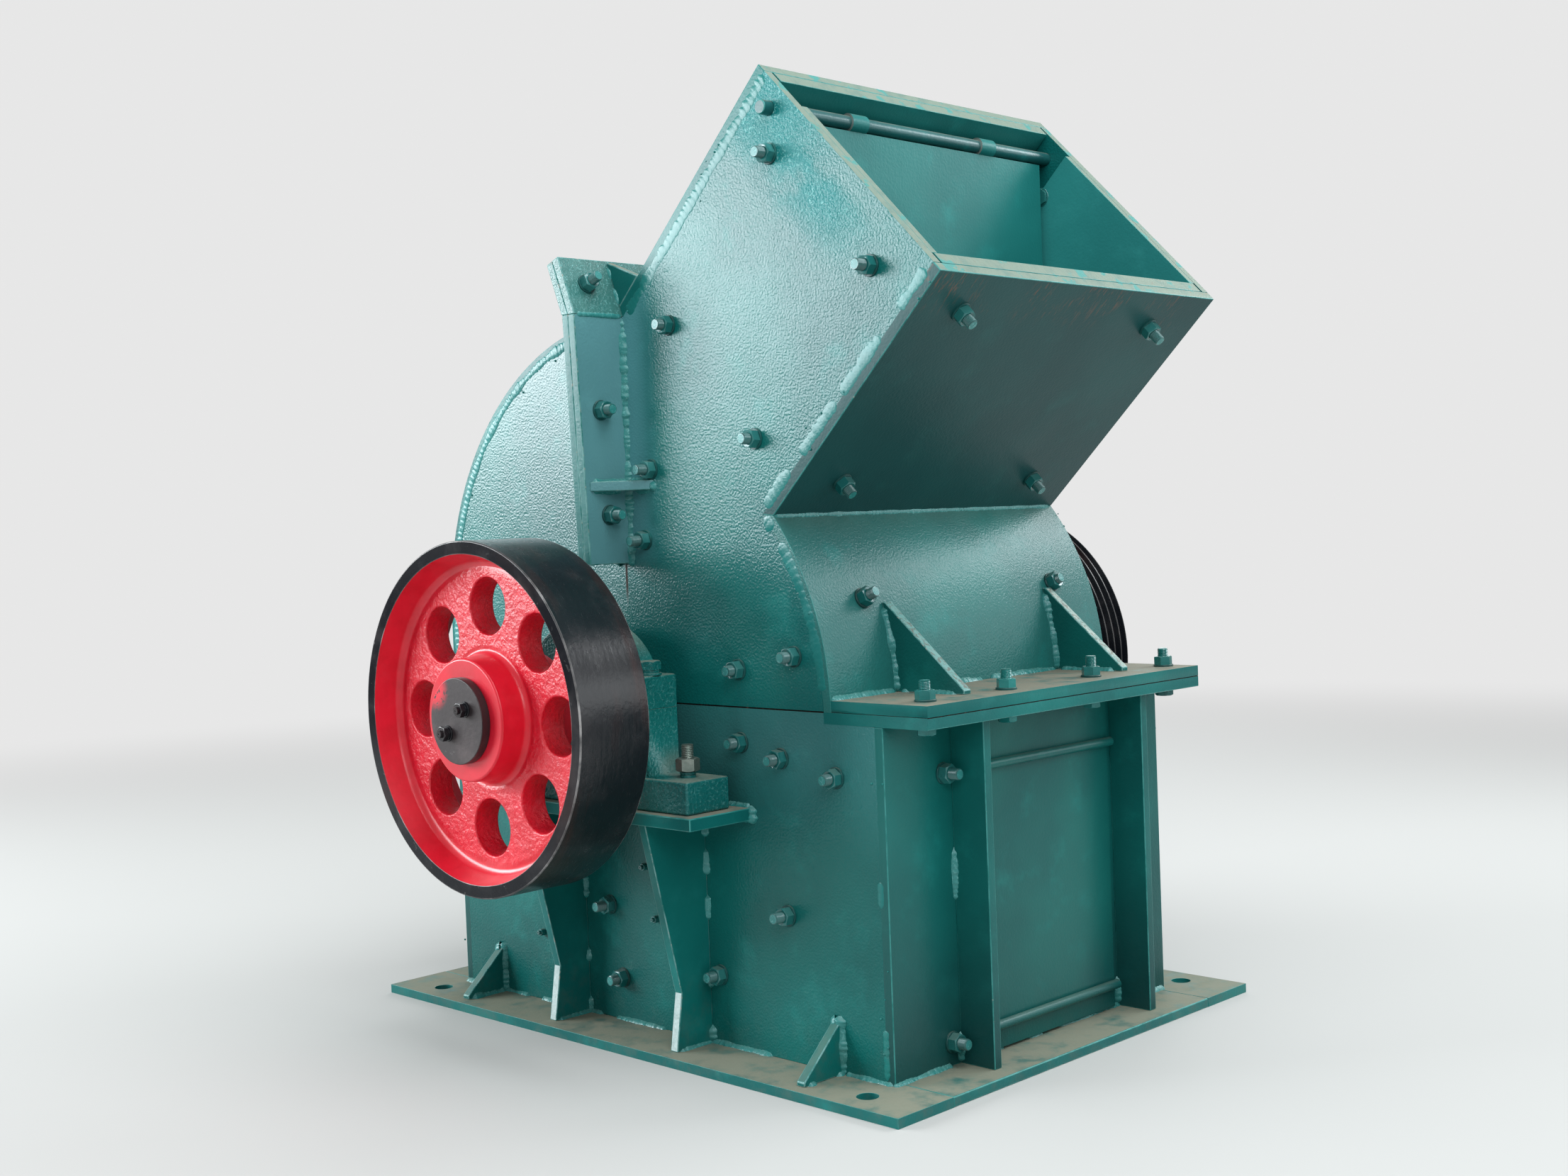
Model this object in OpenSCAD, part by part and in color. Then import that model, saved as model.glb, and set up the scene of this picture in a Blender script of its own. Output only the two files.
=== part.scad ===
// Hammer crusher: a welded steel housing on a base frame, with an inclined feed hopper,
// a rotor shaft in two pillow blocks, a flywheel at one end and a belt pulley at the other.
// X points the way the hopper faces, Y runs along the shaft towards the pulley, Z is up.
// The origin is the middle of the base frame's underside.

/* [Base frame] */
// How far the base strips reach beyond the housing's front and rear
base_toe = 88; // [75:1:110]
// How far the base strips reach beyond the housing's sides
base_side = 96; // [88:1:120]
// Thickness of the base strips
base_t = 14; // [10:1:20]
// Diameter of each anchor hole
anchor_d = 30; // [20:1:34]
// Distance from an anchor hole's centre to the frame's front or rear edge
anchor_end = 91; // [60:1:110]
// Distance from an anchor hole's centre to the frame's side edge
anchor_side = 44; // [30:1:50]

/* [Lower box] */
// Length of the lower box, from the front wall's face to the rear wall's face
box_len = 962; // [930:1:1000]
// Width of the housing, over its side plates
body_w = 640; // [600:1:700]
// Thickness of the side plates, walls and curved skins
plate_t = 14; // [10:1:16]
// Height of the shaft, and of the joint between lower box and upper housing
shaft_z = 508.5; // [500:0.5:530]
// How far the shaft lies behind the middle of the frame
shaft_back = 37; // [30:1:45]
// Radius of the hole that the shaft passes through in the side plates
shaft_hole_r = 53; // [50:1:70]

/* [Joint flanges] */
// Thickness of the flanges along the horizontal joint
flange_t = 16; // [12:1:20]
// How far the horizontal flanges reach from the walls
flange_reach = 79; // [60:1:90]
// How far the two gussets run out over the front flange
gusset_reach = 120; // [100:1:135]
// Height of those gussets above the flange
gusset_h = 126; // [90:1:140]
// Width of the blunt ends of gussets and braces
blunt = 6; // [4:1:10]
// Thickness of ribs and gussets
rib_t = 15; // [10:1:18]
// Side position of the flywheel-side rib and gusset on the front
front_rib_near = 175; // [160:1:210]
// Side position of the pulley-side rib and gusset on the front
front_rib_far = 200; // [190:1:215]
// How far the two front ribs stand out from the front wall
front_rib_out = 59; // [40:1:70]

/* [Front panel] */
// Thickness of the panel between the front ribs
panel_t = 8; // [6:1:12]
// Gap between the panel's edges and the ribs
panel_gap = 18; // [8:1:25]
// Diameter of the two round bars across the panel
panel_bar_d = 14; // [10:1:20]
// Height of the lower bar above the base frame
panel_bar_low = 39; // [25:1:60]
// Distance of the upper bar below the flange
panel_bar_top = 72; // [40:1:100]

/* [Feed hopper] */
// Height of the hopper's top edge above the top of the rear cover's curve
apex_rise = 313; // [300:1:336]
// Distance of the hopper's top edge in front of the shaft
apex_out = 335; // [325:1:345]
// Slope of the feed duct above the horizontal
feed_angle = 43.6; // [42.5:0.1:45]
// Slope of the mouth below the horizontal
mouth_angle = 45.8; // [44:0.1:47]
// Length of the mouth, from its top edge to its lower edge
mouth_depth = 445; // [430:1:460]
// Thickness of the hopper's upper and lower plates
hopper_t = 16; // [10:1:18]
// Thickness of the liners under and over the duct
cross_liner_t = 20; // [16:1:24]
// Thickness of the liners on the duct's sides
side_liner_t = 12; // [8:1:16]
// Length of the liners down the duct
liner_len = 330; // [305:1:350]
// Distance from the mouth's top edge to the side liners
side_liner_top = 94; // [85:1:120]

/* [Housing curves] */
// Outer radius of the round plate at the front, about the shaft
front_r = 426; // [418:1:430]
// Outer radius of the rear cover
cover_r = 450; // [440:1:455]
// Height of the centre of the rear cover's curve
cover_z = 634; // [625:1:640]

/* [Cover flanges] */
// Distance of the joint between cover and body in front of the shaft
seam_out = 13; // [8:1:20]
// Thickness of each flange plate on that joint
cover_flange_t = 14; // [10:1:16]
// Width of the upright flanges at their top
upright_top = 92; // [80:1:100]
// Width of the upright flanges at their foot
upright_foot = 80; // [70:1:90]
// Height of the upright flanges' foot
upright_z = 716; // [690:1:740]
// How far the leaning flange stands up past the hopper's upper plate
lean_rise = 72; // [50:1:90]
// Backward lean of that flange
lean_angle = 21; // [15:0.5:25]
// Length of the gussets between that flange and the hopper's upper plate
top_gusset_len = 60; // [40:1:70]
// Height of the flat stiffener beside the upright flange
stiffener_z = 824; // [800:1:850]
// Length of the stiffener along the side plate
stiffener_len = 57; // [40:1:70]

/* [Bearing stands] */
// Height of the shaft above the shelf
bearing_h = 142; // [135:1:150]
// Thickness of the shelf
shelf_t = 18; // [14:1:24]
// Reach of the shelf from the side plate
shelf_w = 121; // [112:1:130]
// Length of the shelf
shelf_len = 532; // [500:1:560]
// Distance of the rear stand rib behind the shaft
stand_rear = 123; // [110:1:180]
// Distance of the front stand rib in front of the shaft
stand_front = 157; // [130:1:180]
// Width of a stand rib at its foot
stand_foot = 71; // [60:1:80]
// Width of a stand rib at its narrowest
stand_waist = 58; // [45:1:60]
// Height of that narrowest place above the base frame
stand_waist_z = 83; // [60:1:110]
// Width of a corner gusset at its foot
corner_foot = 77; // [60:1:84]
// Height of a corner gusset
corner_h = 76; // [60:1:90]
// Distance of the corner gussets from the box's ends
corner_in = 101; // [90:1:110]

/* [Pillow blocks] */
// Distance of the pillow block's middle from the side plate
block_out = 64.5; // [60:0.5:68]
// Length of the pillow block's foot
foot_len = 490; // [460:1:496]
// Width of the foot
foot_w = 82; // [76:1:88]
// Height of the foot
foot_h = 47; // [40:1:52]
// Length of the block above the foot
block_len = 294; // [280:1:310]
// Width of the block above the foot
block_w = 70; // [64:1:74]
// Height of the cap's shoulders above the shaft
shoulder_h = 48; // [42:1:54]
// Radius of the cap's round top
dome_r = 122; // [115:1:126]
// Running clearance of the shaft in the pillow blocks
running_gap = 0.05; // [0.02:0.01:0.08]

/* [Rotor] */
// Radius of the shaft
shaft_r = 45; // [40:1:46]
// Radius of the rotor discs
disc_r = 225; // [220:1:235]
// Thickness of a rotor disc
disc_t = 20; // [16:1:26]
// Distance from disc to disc
disc_pitch = 128; // [118:1:132]
// Radius of the collars between the discs
collar_r = 75; // [68:1:90]
// Radius of the circle that the hammer pins lie on
pin_circle_r = 190; // [185:1:192]
// Radius of a hammer pin
pin_r = 20; // [16:1:22]
// Distance from the shaft to a hammer's tip
tip_r = 370; // [350:1:374]
// Width of a hammer
hammer_w = 80; // [70:1:84]
// Thickness of a hammer, along the shaft
hammer_t = 60; // [50:1:70]
// Turn of the first row of hammers
hammer_phase = 20; // [0:1:44]

/* [Flywheel] */
// Outer radius of the flywheel
fly_r = 252; // [245:1:256]
// Width of the flywheel's rim
fly_w = 120; // [100:1:126]
// Distance of the rim from the side plate
fly_out = 173; // [165:1:180]
// Thickness of the rim at its edge
fly_rim_t = 19; // [16:1:22]
// Thickness of the web
fly_web_t = 42; // [30:1:50]
// Radius of the boss
fly_boss_r = 87; // [80:1:90]
// How far the boss stands out past the rim
fly_boss_out = 4; // [2:1:6]
// Radius of each hole in the web
fly_hole_r = 41; // [34:1:42]
// Radius of the circle that the web's holes lie on
fly_hole_circle = 158; // [154:1:160]
// Number of holes in the web
fly_holes = 8; // [6:1:8]
// Turn of the web's holes
fly_phase = -2; // [-22:1:22]

/* [Belt pulley] */
// Outer radius of the pulley
pulley_r = 263; // [255:1:268]
// Number of belt grooves
grooves = 5; // [3:1:6]
// Distance from groove to groove
groove_pitch = 19; // [19:0.5:20]
// Width of a groove at its top
groove_top = 16; // [14:0.5:17]
// Width of a groove at its bottom
groove_bottom = 8; // [6:0.5:10]
// Depth of a groove
groove_depth = 15; // [12:0.5:18]
// Distance of the rim from the side plate
pulley_out = 209; // [200:1:220]
// Thickness of the rim behind the grooves
pulley_rim_t = 14; // [10:1:20]
// Thickness of the pulley's web
pulley_web_t = 24; // [18:1:30]
// Radius of the pulley's boss
pulley_boss_r = 80; // [75:1:90]

/* [Shaft ends] */
// Radius of the plate on each end of the shaft
end_plate_r = 61; // [55:1:68]
// Thickness of those plates
end_plate_t = 14; // [10:1:18]

/* [Feed flap] */
// Distance of the flap's rod from the duct's upper face
rod_depth = 58; // [57:0.5:62]
// Distance of the rod from the mouth
rod_in = 32; // [28:1:40]
// Radius of the rod
rod_r = 10; // [8:0.5:10]
// Radius of the flap's barrels
barrel_r = 13.5; // [13:0.5:15]
// Length of each barrel
barrel_len = 34; // [25:1:45]
// Side position of the barrels from the middle
barrel_y = 146; // [120:1:180]
// Distance from the rod to the flap's lower edge
flap_len = 430; // [420:1:432]
// Gap between the flap and the liner on each side
flap_gap = 11; // [8:1:20]
// Distance from the rod down to the flap's upper edge
flap_top = 12.5; // [12:0.5:20]
// Thickness of the flap
flap_t = 10; // [8:1:12]
// How far the rod's ends stand out of the side plates
rod_end = 18; // [6:1:24]

/* [Grate] */
// Inner radius of the grate under the rotor
grate_r = 385; // [382:1:390]
// Depth of a grate bar
grate_bar_h = 30; // [24:1:32]
// Width of a grate bar
grate_bar_w = 30; // [24:1:36]
// Angle from grate bar to grate bar
bar_angle = 8; // [7:0.5:9]
// Number of grate bars
bar_count = 16; // [12:1:17]
// Depth of the curved rails that carry the bars
rail_h = 32; // [24:1:34]
// Width of those rails
rail_w = 20; // [15:1:30]

/* [Hidden] */
$fn = 96;

// Clearance where curved faces that don't move lie against each other
seat_gap = 0.3;
// Clearance between parts keyed together on the shaft
key_gap = 0.1;
// Gap behind each liner
liner_gap = 0.3;
// Gap beside the liners under and over the duct
liner_side_gap = 4;
// Length that is sure to reach past the whole machine
far = 3000;

side_y = body_w / 2;
inner_y = side_y - plate_t;
box_x = box_len / 2;
wall_in = box_x - plate_t;
shaft_x = -shaft_back;
shaft = [shaft_x, shaft_z];
frame_x = box_x + base_toe;
frame_y = side_y + base_side;
box_top = shaft_z - flange_t;
round_in_x = shaft_x + front_r - plate_t;

// Feed duct, in the plane of the side plates
duct = [cos(feed_angle), sin(feed_angle)];
duct_up = [-sin(feed_angle), cos(feed_angle)];
mouth = [cos(mouth_angle), -sin(mouth_angle)];
skew = cos(mouth_angle + feed_angle - 90);
duct_depth = mouth_depth * skew;
apex = [shaft_x + apex_out, cover_z + cover_r + apex_rise];
lower_lip = apex + mouth_depth * mouth;
lower_lip_in = mouth_at(duct_depth - hopper_t);
junction = down_to_circle(lower_lip, shaft, front_r);
junction_in = down_to_circle(lower_lip_in, shaft, front_r - plate_t);

// Joint between cover and body
seam_x = shaft_x + seam_out;
cover_x = -box_x + cover_r;
cover_c = [cover_x, cover_z];
foot_z = cover_z + cover_r + seat_gap;
lean = [-sin(lean_angle), cos(lean_angle)];
lean_out = [cos(lean_angle), sin(lean_angle)];
seam_foot = [seam_x, foot_z];
lean_front = [seam_x + cover_flange_t / cos(lean_angle), foot_z];
lean_back = [seam_x - cover_flange_t / cos(lean_angle), foot_z];
upper_end = meet(apex, duct, lean_front, lean);
seam_top = seam_foot + ((upper_end - lean_front) * lean + lean_rise) * lean;
upper_end_in = meet(mouth_at(hopper_t), duct, lean_front, lean);

// Bearing stands
shelf_top = shaft_z - bearing_h;
shelf_bottom = shelf_top - shelf_t;
block_y = side_y + block_out;
foot_top = shelf_top + foot_h;
bore_r = shaft_r + running_gap;

// Rotor
fly_back = side_y + fly_out;
fly_face = fly_back + fly_w;
near_end = fly_face + fly_boss_out;
pulley_w = grooves * groove_pitch + 2 * groove_bottom - groove_top;
pulley_back = side_y + pulley_out;
pulley_face = pulley_back + pulley_w;
far_end = pulley_face + fly_boss_out;
disc_span = 2 * disc_pitch + disc_t / 2;

// Liners and feed flap
liner_top = hopper_t + liner_gap + cross_liner_t;
liner_low = duct_depth - hopper_t - liner_gap - cross_liner_t;
rod = mouth_at(rod_depth) - rod_in * duct;
flap_y = inner_y - side_liner_t - flap_gap;

// Where a given depth below the duct's upper face meets the mouth
function mouth_at(depth) = apex + depth / skew * mouth;
// Where the line down the duct from p meets a circle
function down_to_circle(p, c, r) =
    let (q = p - c, b = q * duct) p - (b - sqrt(b * b - (q * q - r * r))) * duct;
// Where the line through p along d meets the line through q along e
function meet(p, d, q, e) = p + cross(q - p, e) / cross(d, e) * d;

// Extrudes an outline in X and Z from y0 to y1
module across(y0, y1) {
    translate([0, y1, 0]) rotate([90, 0, 0]) linear_extrude(y1 - y0) children();
}

// Extrudes an outline in Y and Z from x0 to x1
module along(x0, x1) {
    translate([x0, 0, 0]) rotate([90, 0, 90]) linear_extrude(x1 - x0) children();
}

// A box from one corner to the other
module block(low, high) {
    translate(low) cube(high - low);
}

// A round bar along Y
module bar(at, r, y0, y1) {
    translate([at.x, y1, at.y]) rotate([90, 0, 0]) cylinder(r = r, h = y1 - y0);
}

// Turns an outline of radius and Y about the shaft
module turned(outline) {
    translate([shaft_x, 0, shaft_z]) rotate([-90, 0, 0]) rotate_extrude() polygon(outline);
}

// A piece on the flywheel's side and its mirror image on the pulley's side
module both_sides() {
    children();
    mirror([0, 1, 0]) children();
}

module disc(c, r) {
    translate(c) circle(r);
}

module base_side_strips() {
    color("teal") both_sides() difference() {
        block([-frame_x, -frame_y, 0], [frame_x, -inner_y, base_t]);
        for (s = [-1, 1])
            translate([s * (frame_x - anchor_end), anchor_side - frame_y, -1])
                cylinder(d = anchor_d, h = base_t + 2);
    }
}

module base_cross_strips() {
    color("teal") for (s = [0, 1]) mirror([s, 0, 0])
        block([wall_in, -inner_y, 0], [frame_x, inner_y, base_t]);
}

module lower_side() {
    difference() {
        across(-side_y, -inner_y) polygon([
            [-wall_in, base_t], [wall_in, base_t], [wall_in, box_top],
            [round_in_x, box_top], [round_in_x, shaft_z], [-wall_in, shaft_z]
        ]);
        bar(shaft, shaft_hole_r, -side_y - 1, -inner_y + 1);
    }
}

module lower_side_near() {
    color("teal") lower_side();
}

module lower_side_far() {
    color("teal") mirror([0, 1, 0]) lower_side();
}

module lower_front_wall() {
    color("teal") block([wall_in, -side_y, base_t], [box_x, side_y, box_top]);
}

module lower_rear_wall() {
    color("teal") block([-box_x, -side_y, base_t], [-wall_in, side_y, box_top]);
}

module front_wall_ribs() {
    color("teal") for (y = [-front_rib_near, front_rib_far])
        block([box_x, y - rib_t / 2, base_t], [box_x + front_rib_out, y + rib_t / 2, box_top]);
}

module front_wall_panel() {
    left = -front_rib_near + rib_t / 2 + panel_gap;
    right = front_rib_far - rib_t / 2 - panel_gap;
    bar_x = box_x + panel_t + panel_bar_d / 2 - 1;
    color("teal") union() {
        block([box_x, left, base_t + 4], [box_x + panel_t, right, box_top - 4]);
        for (z = [base_t + panel_bar_low, box_top - panel_bar_top])
            bar([bar_x, z], panel_bar_d / 2, left, right);
    }
}

module lower_front_flange() {
    color("teal") block([round_in_x, -side_y, box_top], [box_x + flange_reach, side_y, shaft_z]);
}

module upper_front_flange() {
    color("teal") difference() {
        block([round_in_x, -side_y, shaft_z], [box_x + flange_reach, side_y, shaft_z + flange_t]);
        bar(shaft, front_r + seat_gap, -side_y - 1, side_y + 1);
    }
}

module flange_gussets() {
    foot = shaft_z + flange_t;
    tip = foot + gusset_h;
    root_x = shaft_x + sqrt(front_r * front_r - (tip - shaft_z) * (tip - shaft_z));
    toe_x = shaft_x + front_r + gusset_reach;
    color("teal") for (y = [-front_rib_near, front_rib_far])
        across(y - rib_t / 2, y + rib_t / 2) difference() {
            polygon([
                [shaft_x, foot], [toe_x, foot], [toe_x, foot + blunt],
                [root_x + blunt, tip], [shaft_x, tip]
            ]);
            disc(shaft, front_r + seat_gap);
        }
}

module lower_rear_flange() {
    color("teal") block([-box_x - flange_reach, -side_y, box_top], [-wall_in, side_y, shaft_z]);
}

module upper_rear_flange() {
    color("teal") block([-box_x - flange_reach, -side_y, shaft_z], [-box_x, side_y, shaft_z + flange_t]);
}

module corner_gussets() {
    color("teal") both_sides() for (x = [-box_x + corner_in, box_x - corner_in])
        along(x - rib_t / 2, x + rib_t / 2) polygon([
            [-side_y, base_t], [-side_y - corner_foot, base_t],
            [-side_y - corner_foot, base_t + blunt], [-side_y, base_t + corner_h]
        ]);
}

module stand_ribs() {
    top_w = shelf_w - 6;
    color("teal") both_sides() for (x = [shaft_x - stand_rear, shaft_x + stand_front])
        along(x - rib_t / 2, x + rib_t / 2) polygon([
            [-side_y, base_t], [-side_y - stand_foot, base_t],
            [-side_y - stand_waist, base_t + stand_waist_z],
            [-side_y - top_w, shelf_bottom], [-side_y, shelf_bottom]
        ]);
}

module bearing_shelves() {
    color("teal") both_sides() block(
        [shaft_x - shelf_len / 2, -side_y - shelf_w, shelf_bottom],
        [shaft_x + shelf_len / 2, -side_y, shelf_top]
    );
}

module pillow_block() {
    difference() {
        union() {
            block(
                [shaft_x - foot_len / 2, -block_y - foot_w / 2, shelf_top],
                [shaft_x + foot_len / 2, -block_y + foot_w / 2, foot_top]
            );
            block(
                [shaft_x - block_len / 2, -block_y - block_w / 2, foot_top - 1],
                [shaft_x + block_len / 2, -block_y + block_w / 2, shaft_z]
            );
        }
        bar(shaft, bore_r, -block_y - foot_w, -block_y + foot_w);
    }
}

module pillow_cap() {
    difference() {
        across(-block_y - block_w / 2, -block_y + block_w / 2) intersection() {
            union() {
                disc(shaft, dome_r);
                translate(shaft - [block_len / 2, 0]) square([block_len, shoulder_h]);
            }
            translate(shaft - [far / 2, 0]) square([far, far]);
        }
        bar(shaft, bore_r, -block_y - foot_w, -block_y + foot_w);
    }
}

module pillow_block_near() {
    color("teal") pillow_block();
}

module pillow_block_far() {
    color("teal") mirror([0, 1, 0]) pillow_block();
}

module pillow_cap_near() {
    color("teal") pillow_cap();
}

module pillow_cap_far() {
    color("teal") mirror([0, 1, 0]) pillow_cap();
}

// Outline of the body's side plate, inside the skins
module upper_side_outline() {
    corner = [seam_x, shaft_z];
    polygon([
        corner, junction_in, lower_lip_in, mouth_at(hopper_t),
        upper_end_in, lean_front, seam_foot
    ]);
    intersection() {
        disc(shaft, front_r - plate_t - seat_gap);
        translate(corner) square([far, far]);
    }
}

module upper_side() {
    difference() {
        across(-side_y, -inner_y) upper_side_outline();
        bar(shaft, shaft_hole_r, -side_y - 1, -inner_y + 1);
        bar(rod, rod_r + seat_gap, -side_y - 1, -inner_y + 1);
    }
}

module upper_side_near() {
    color("teal") upper_side();
}

module upper_side_far() {
    color("teal") mirror([0, 1, 0]) upper_side();
}

module round_front_plate() {
    mitre = (junction - junction_in) / norm(junction - junction_in);
    color("teal") across(-side_y, side_y) intersection() {
        difference() {
            disc(shaft, front_r);
            disc(shaft, front_r - plate_t);
        }
        polygon([shaft, shaft + [far, 0], junction + far * mitre, junction_in]);
    }
}

module hopper_lower_plate() {
    color("teal") across(-side_y, side_y)
        polygon([junction, lower_lip, lower_lip_in, junction_in]);
}

module hopper_upper_plate() {
    color("teal") across(-side_y, side_y)
        polygon([apex, upper_end, upper_end_in, mouth_at(hopper_t)]);
}

// A liner between two depths of the duct, from the mouth inwards
module liner_outline(d0, d1) {
    p = mouth_at(d0);
    q = mouth_at(d1);
    polygon([p, q, q - liner_len * duct, p - liner_len * duct]);
}

module hopper_cross_liners() {
    color("teal") across(liner_side_gap - inner_y, inner_y - liner_side_gap) {
        liner_outline(liner_top - cross_liner_t, liner_top);
        liner_outline(liner_low, liner_low + cross_liner_t);
    }
}

module hopper_side_liners() {
    color("teal") both_sides() across(-inner_y, -inner_y + side_liner_t)
        liner_outline(side_liner_top, liner_low - liner_gap);
}

module top_gussets() {
    tip = seam_top + cover_flange_t * lean_out;
    color("teal") both_sides() across(-side_y, -inner_y)
        polygon([tip - blunt / 2 * lean, upper_end, upper_end + top_gusset_len * duct]);
}

module cover_side() {
    difference() {
        across(-side_y, -inner_y) intersection() {
            union() {
                disc(cover_c, cover_r - plate_t - seat_gap);
                translate([-wall_in, shaft_z]) square([wall_in + seam_x, cover_z - shaft_z]);
            }
            translate([-wall_in, shaft_z]) square([wall_in + seam_x, far]);
        }
        bar(shaft, shaft_hole_r, -side_y - 1, -inner_y + 1);
    }
}

module cover_side_near() {
    color("teal") cover_side();
}

module cover_side_far() {
    color("teal") mirror([0, 1, 0]) cover_side();
}

module cover_skin() {
    color("teal") across(-side_y, side_y) {
        intersection() {
            difference() {
                disc(cover_c, cover_r);
                disc(cover_c, cover_r - plate_t);
            }
            translate([-far, cover_z]) square([far + seam_x, far]);
        }
        translate([-box_x, shaft_z]) square([plate_t, cover_z - shaft_z]);
    }
}

module upright_outline() {
    polygon([
        [-side_y, upright_z], [-side_y - upright_foot, upright_z],
        [-side_y - upright_top, foot_z], [-side_y, foot_z]
    ]);
}

module body_upright_flanges() {
    color("teal") both_sides() along(seam_x, seam_x + cover_flange_t) upright_outline();
}

module cover_upright_flanges() {
    color("teal") both_sides() along(seam_x - cover_flange_t, seam_x) upright_outline();
}

module body_top_flange() {
    color("teal") across(-side_y - upright_top, side_y + upright_top)
        polygon([seam_foot, lean_front, seam_top + cover_flange_t * lean_out, seam_top]);
}

module cover_top_flange() {
    color("teal") across(-side_y - upright_top, side_y + upright_top)
        polygon([seam_foot, lean_back, seam_top - cover_flange_t * lean_out, seam_top]);
}

module flange_stiffeners() {
    x = seam_x + cover_flange_t;
    color("teal") both_sides() translate([0, 0, stiffener_z]) linear_extrude(rib_t)
        polygon([[x, -side_y], [x + stiffener_len, -side_y], [x, -side_y - upright_foot + 4]]);
}

module flap_rod() {
    color("teal") bar(rod, rod_r, -side_y - rod_end, side_y + rod_end);
}

// Angle of a grate bar, counted from straight down
function grate_angle(i) = bar_angle * (i - (bar_count - 1) / 2);

module grate_bars() {
    color("dimgray") for (i = [0 : bar_count - 1])
        translate([shaft_x, 0, shaft_z]) rotate([0, grate_angle(i), 0]) block(
            [-grate_bar_w / 2, -inner_y, -grate_r - grate_bar_h],
            [grate_bar_w / 2, inner_y, -grate_r]
        );
}

module grate_rails() {
    r = norm([grate_bar_w / 2, grate_r + grate_bar_h]) + seat_gap;
    spread = grate_angle(bar_count - 1) + bar_angle / 2;
    color("dimgray") both_sides() across(-inner_y, -inner_y + rail_w) intersection() {
        difference() {
            disc(shaft, r + rail_h);
            disc(shaft, r);
        }
        polygon([
            shaft, shaft + far * [-sin(spread), -cos(spread)], shaft + [0, -2 * far],
            shaft + far * [sin(spread), -cos(spread)]
        ]);
    }
}

module rotor_shaft() {
    color("silver") bar(shaft, shaft_r, -near_end, far_end);
}

module rotor_discs() {
    color("dimgray") for (i = [-2 : 2]) {
        y = i * disc_pitch;
        difference() {
            bar(shaft, disc_r, y - disc_t / 2, y + disc_t / 2);
            bar(shaft, shaft_r + key_gap, y - disc_t, y + disc_t);
            for (a = [0 : 90 : 270])
                bar(shaft + pin_circle_r * spoke(a), pin_r + seat_gap, y - disc_t, y + disc_t);
        }
    }
}

module disc_collars() {
    half = (disc_pitch - disc_t) / 2;
    color("dimgray") for (i = [-1.5 : 1.5]) {
        y = i * disc_pitch;
        difference() {
            bar(shaft, collar_r, y - half, y + half);
            bar(shaft, shaft_r + key_gap, y - disc_pitch, y + disc_pitch);
        }
    }
}

module hammer_pins() {
    color("dimgray") for (a = [0 : 90 : 270])
        bar(shaft + pin_circle_r * spoke(a), pin_r, -disc_span, disc_span);
}

// Direction of a row of hammers
function spoke(a) = [cos(a + hammer_phase), sin(a + hammer_phase)];

module hammers() {
    color("dimgray") for (a = [0 : 90 : 270], i = [-1.5 : 1.5])
        translate([shaft_x, i * disc_pitch, shaft_z]) rotate([0, -a - hammer_phase, 0]) difference() {
            union() {
                block([pin_circle_r, -hammer_t / 2, -hammer_w / 2], [tip_r, hammer_t / 2, hammer_w / 2]);
                bar([pin_circle_r, 0], hammer_w / 2, -hammer_t / 2, hammer_t / 2);
            }
            bar([pin_circle_r, 0], pin_r + seat_gap, -hammer_t, hammer_t);
        }
}

module flywheel() {
    face = -fly_face;
    web = (fly_w - fly_web_t) / 2;
    rim_in = fly_r - fly_rim_t;
    toe = 10;
    color("crimson") difference() {
        turned([
            [shaft_r + key_gap, face - fly_boss_out], [fly_boss_r, face - fly_boss_out],
            [fly_boss_r + 3, face + web - toe], [fly_boss_r + toe, face + web],
            [rim_in - 2 * toe, face + web], [rim_in - toe, face + web - toe], [rim_in, face],
            [fly_r, face], [fly_r, face + fly_w],
            [rim_in, face + fly_w], [rim_in - toe, face + fly_w - web + toe],
            [rim_in - 2 * toe, face + fly_w - web], [fly_boss_r + toe, face + fly_w - web],
            [fly_boss_r + 3, face + fly_w - web + toe], [fly_boss_r, face + fly_w + fly_boss_out],
            [shaft_r + key_gap, face + fly_w + fly_boss_out]
        ]);
        for (i = [0 : fly_holes - 1])
            bar(
                shaft + fly_hole_circle * [cos(i * 360 / fly_holes + fly_phase), sin(i * 360 / fly_holes + fly_phase)],
                fly_hole_r, face, face + fly_w
            );
    }
}

// Radius and Y of the corners of one belt groove
function groove(i) =
    let (y = pulley_back + groove_bottom + (i + 0.5) * groove_pitch - groove_top / 2)
    [
        [pulley_r, y - groove_top / 2], [pulley_r - groove_depth, y - groove_bottom / 2],
        [pulley_r - groove_depth, y + groove_bottom / 2], [pulley_r, y + groove_top / 2]
    ];

module belt_pulley() {
    rim_in = pulley_r - groove_depth - pulley_rim_t;
    mid = pulley_back + pulley_w / 2;
    web = pulley_web_t / 2;
    color("dimgray") turned(concat(
        [
            [shaft_r + key_gap, pulley_back - fly_boss_out], [pulley_boss_r, pulley_back - fly_boss_out],
            [pulley_boss_r, mid - web], [rim_in, mid - web], [rim_in, pulley_back], [pulley_r, pulley_back]
        ],
        [for (i = [0 : grooves - 1]) each groove(i)],
        [
            [pulley_r, pulley_face], [rim_in, pulley_face], [rim_in, mid + web],
            [pulley_boss_r, mid + web], [pulley_boss_r, far_end], [shaft_r + key_gap, far_end]
        ]
    ));
}

module shaft_end_plates() {
    color("dimgray") {
        bar(shaft, end_plate_r, -near_end - end_plate_t, -near_end);
        bar(shaft, end_plate_r, far_end, far_end + end_plate_t);
    }
}

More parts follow.
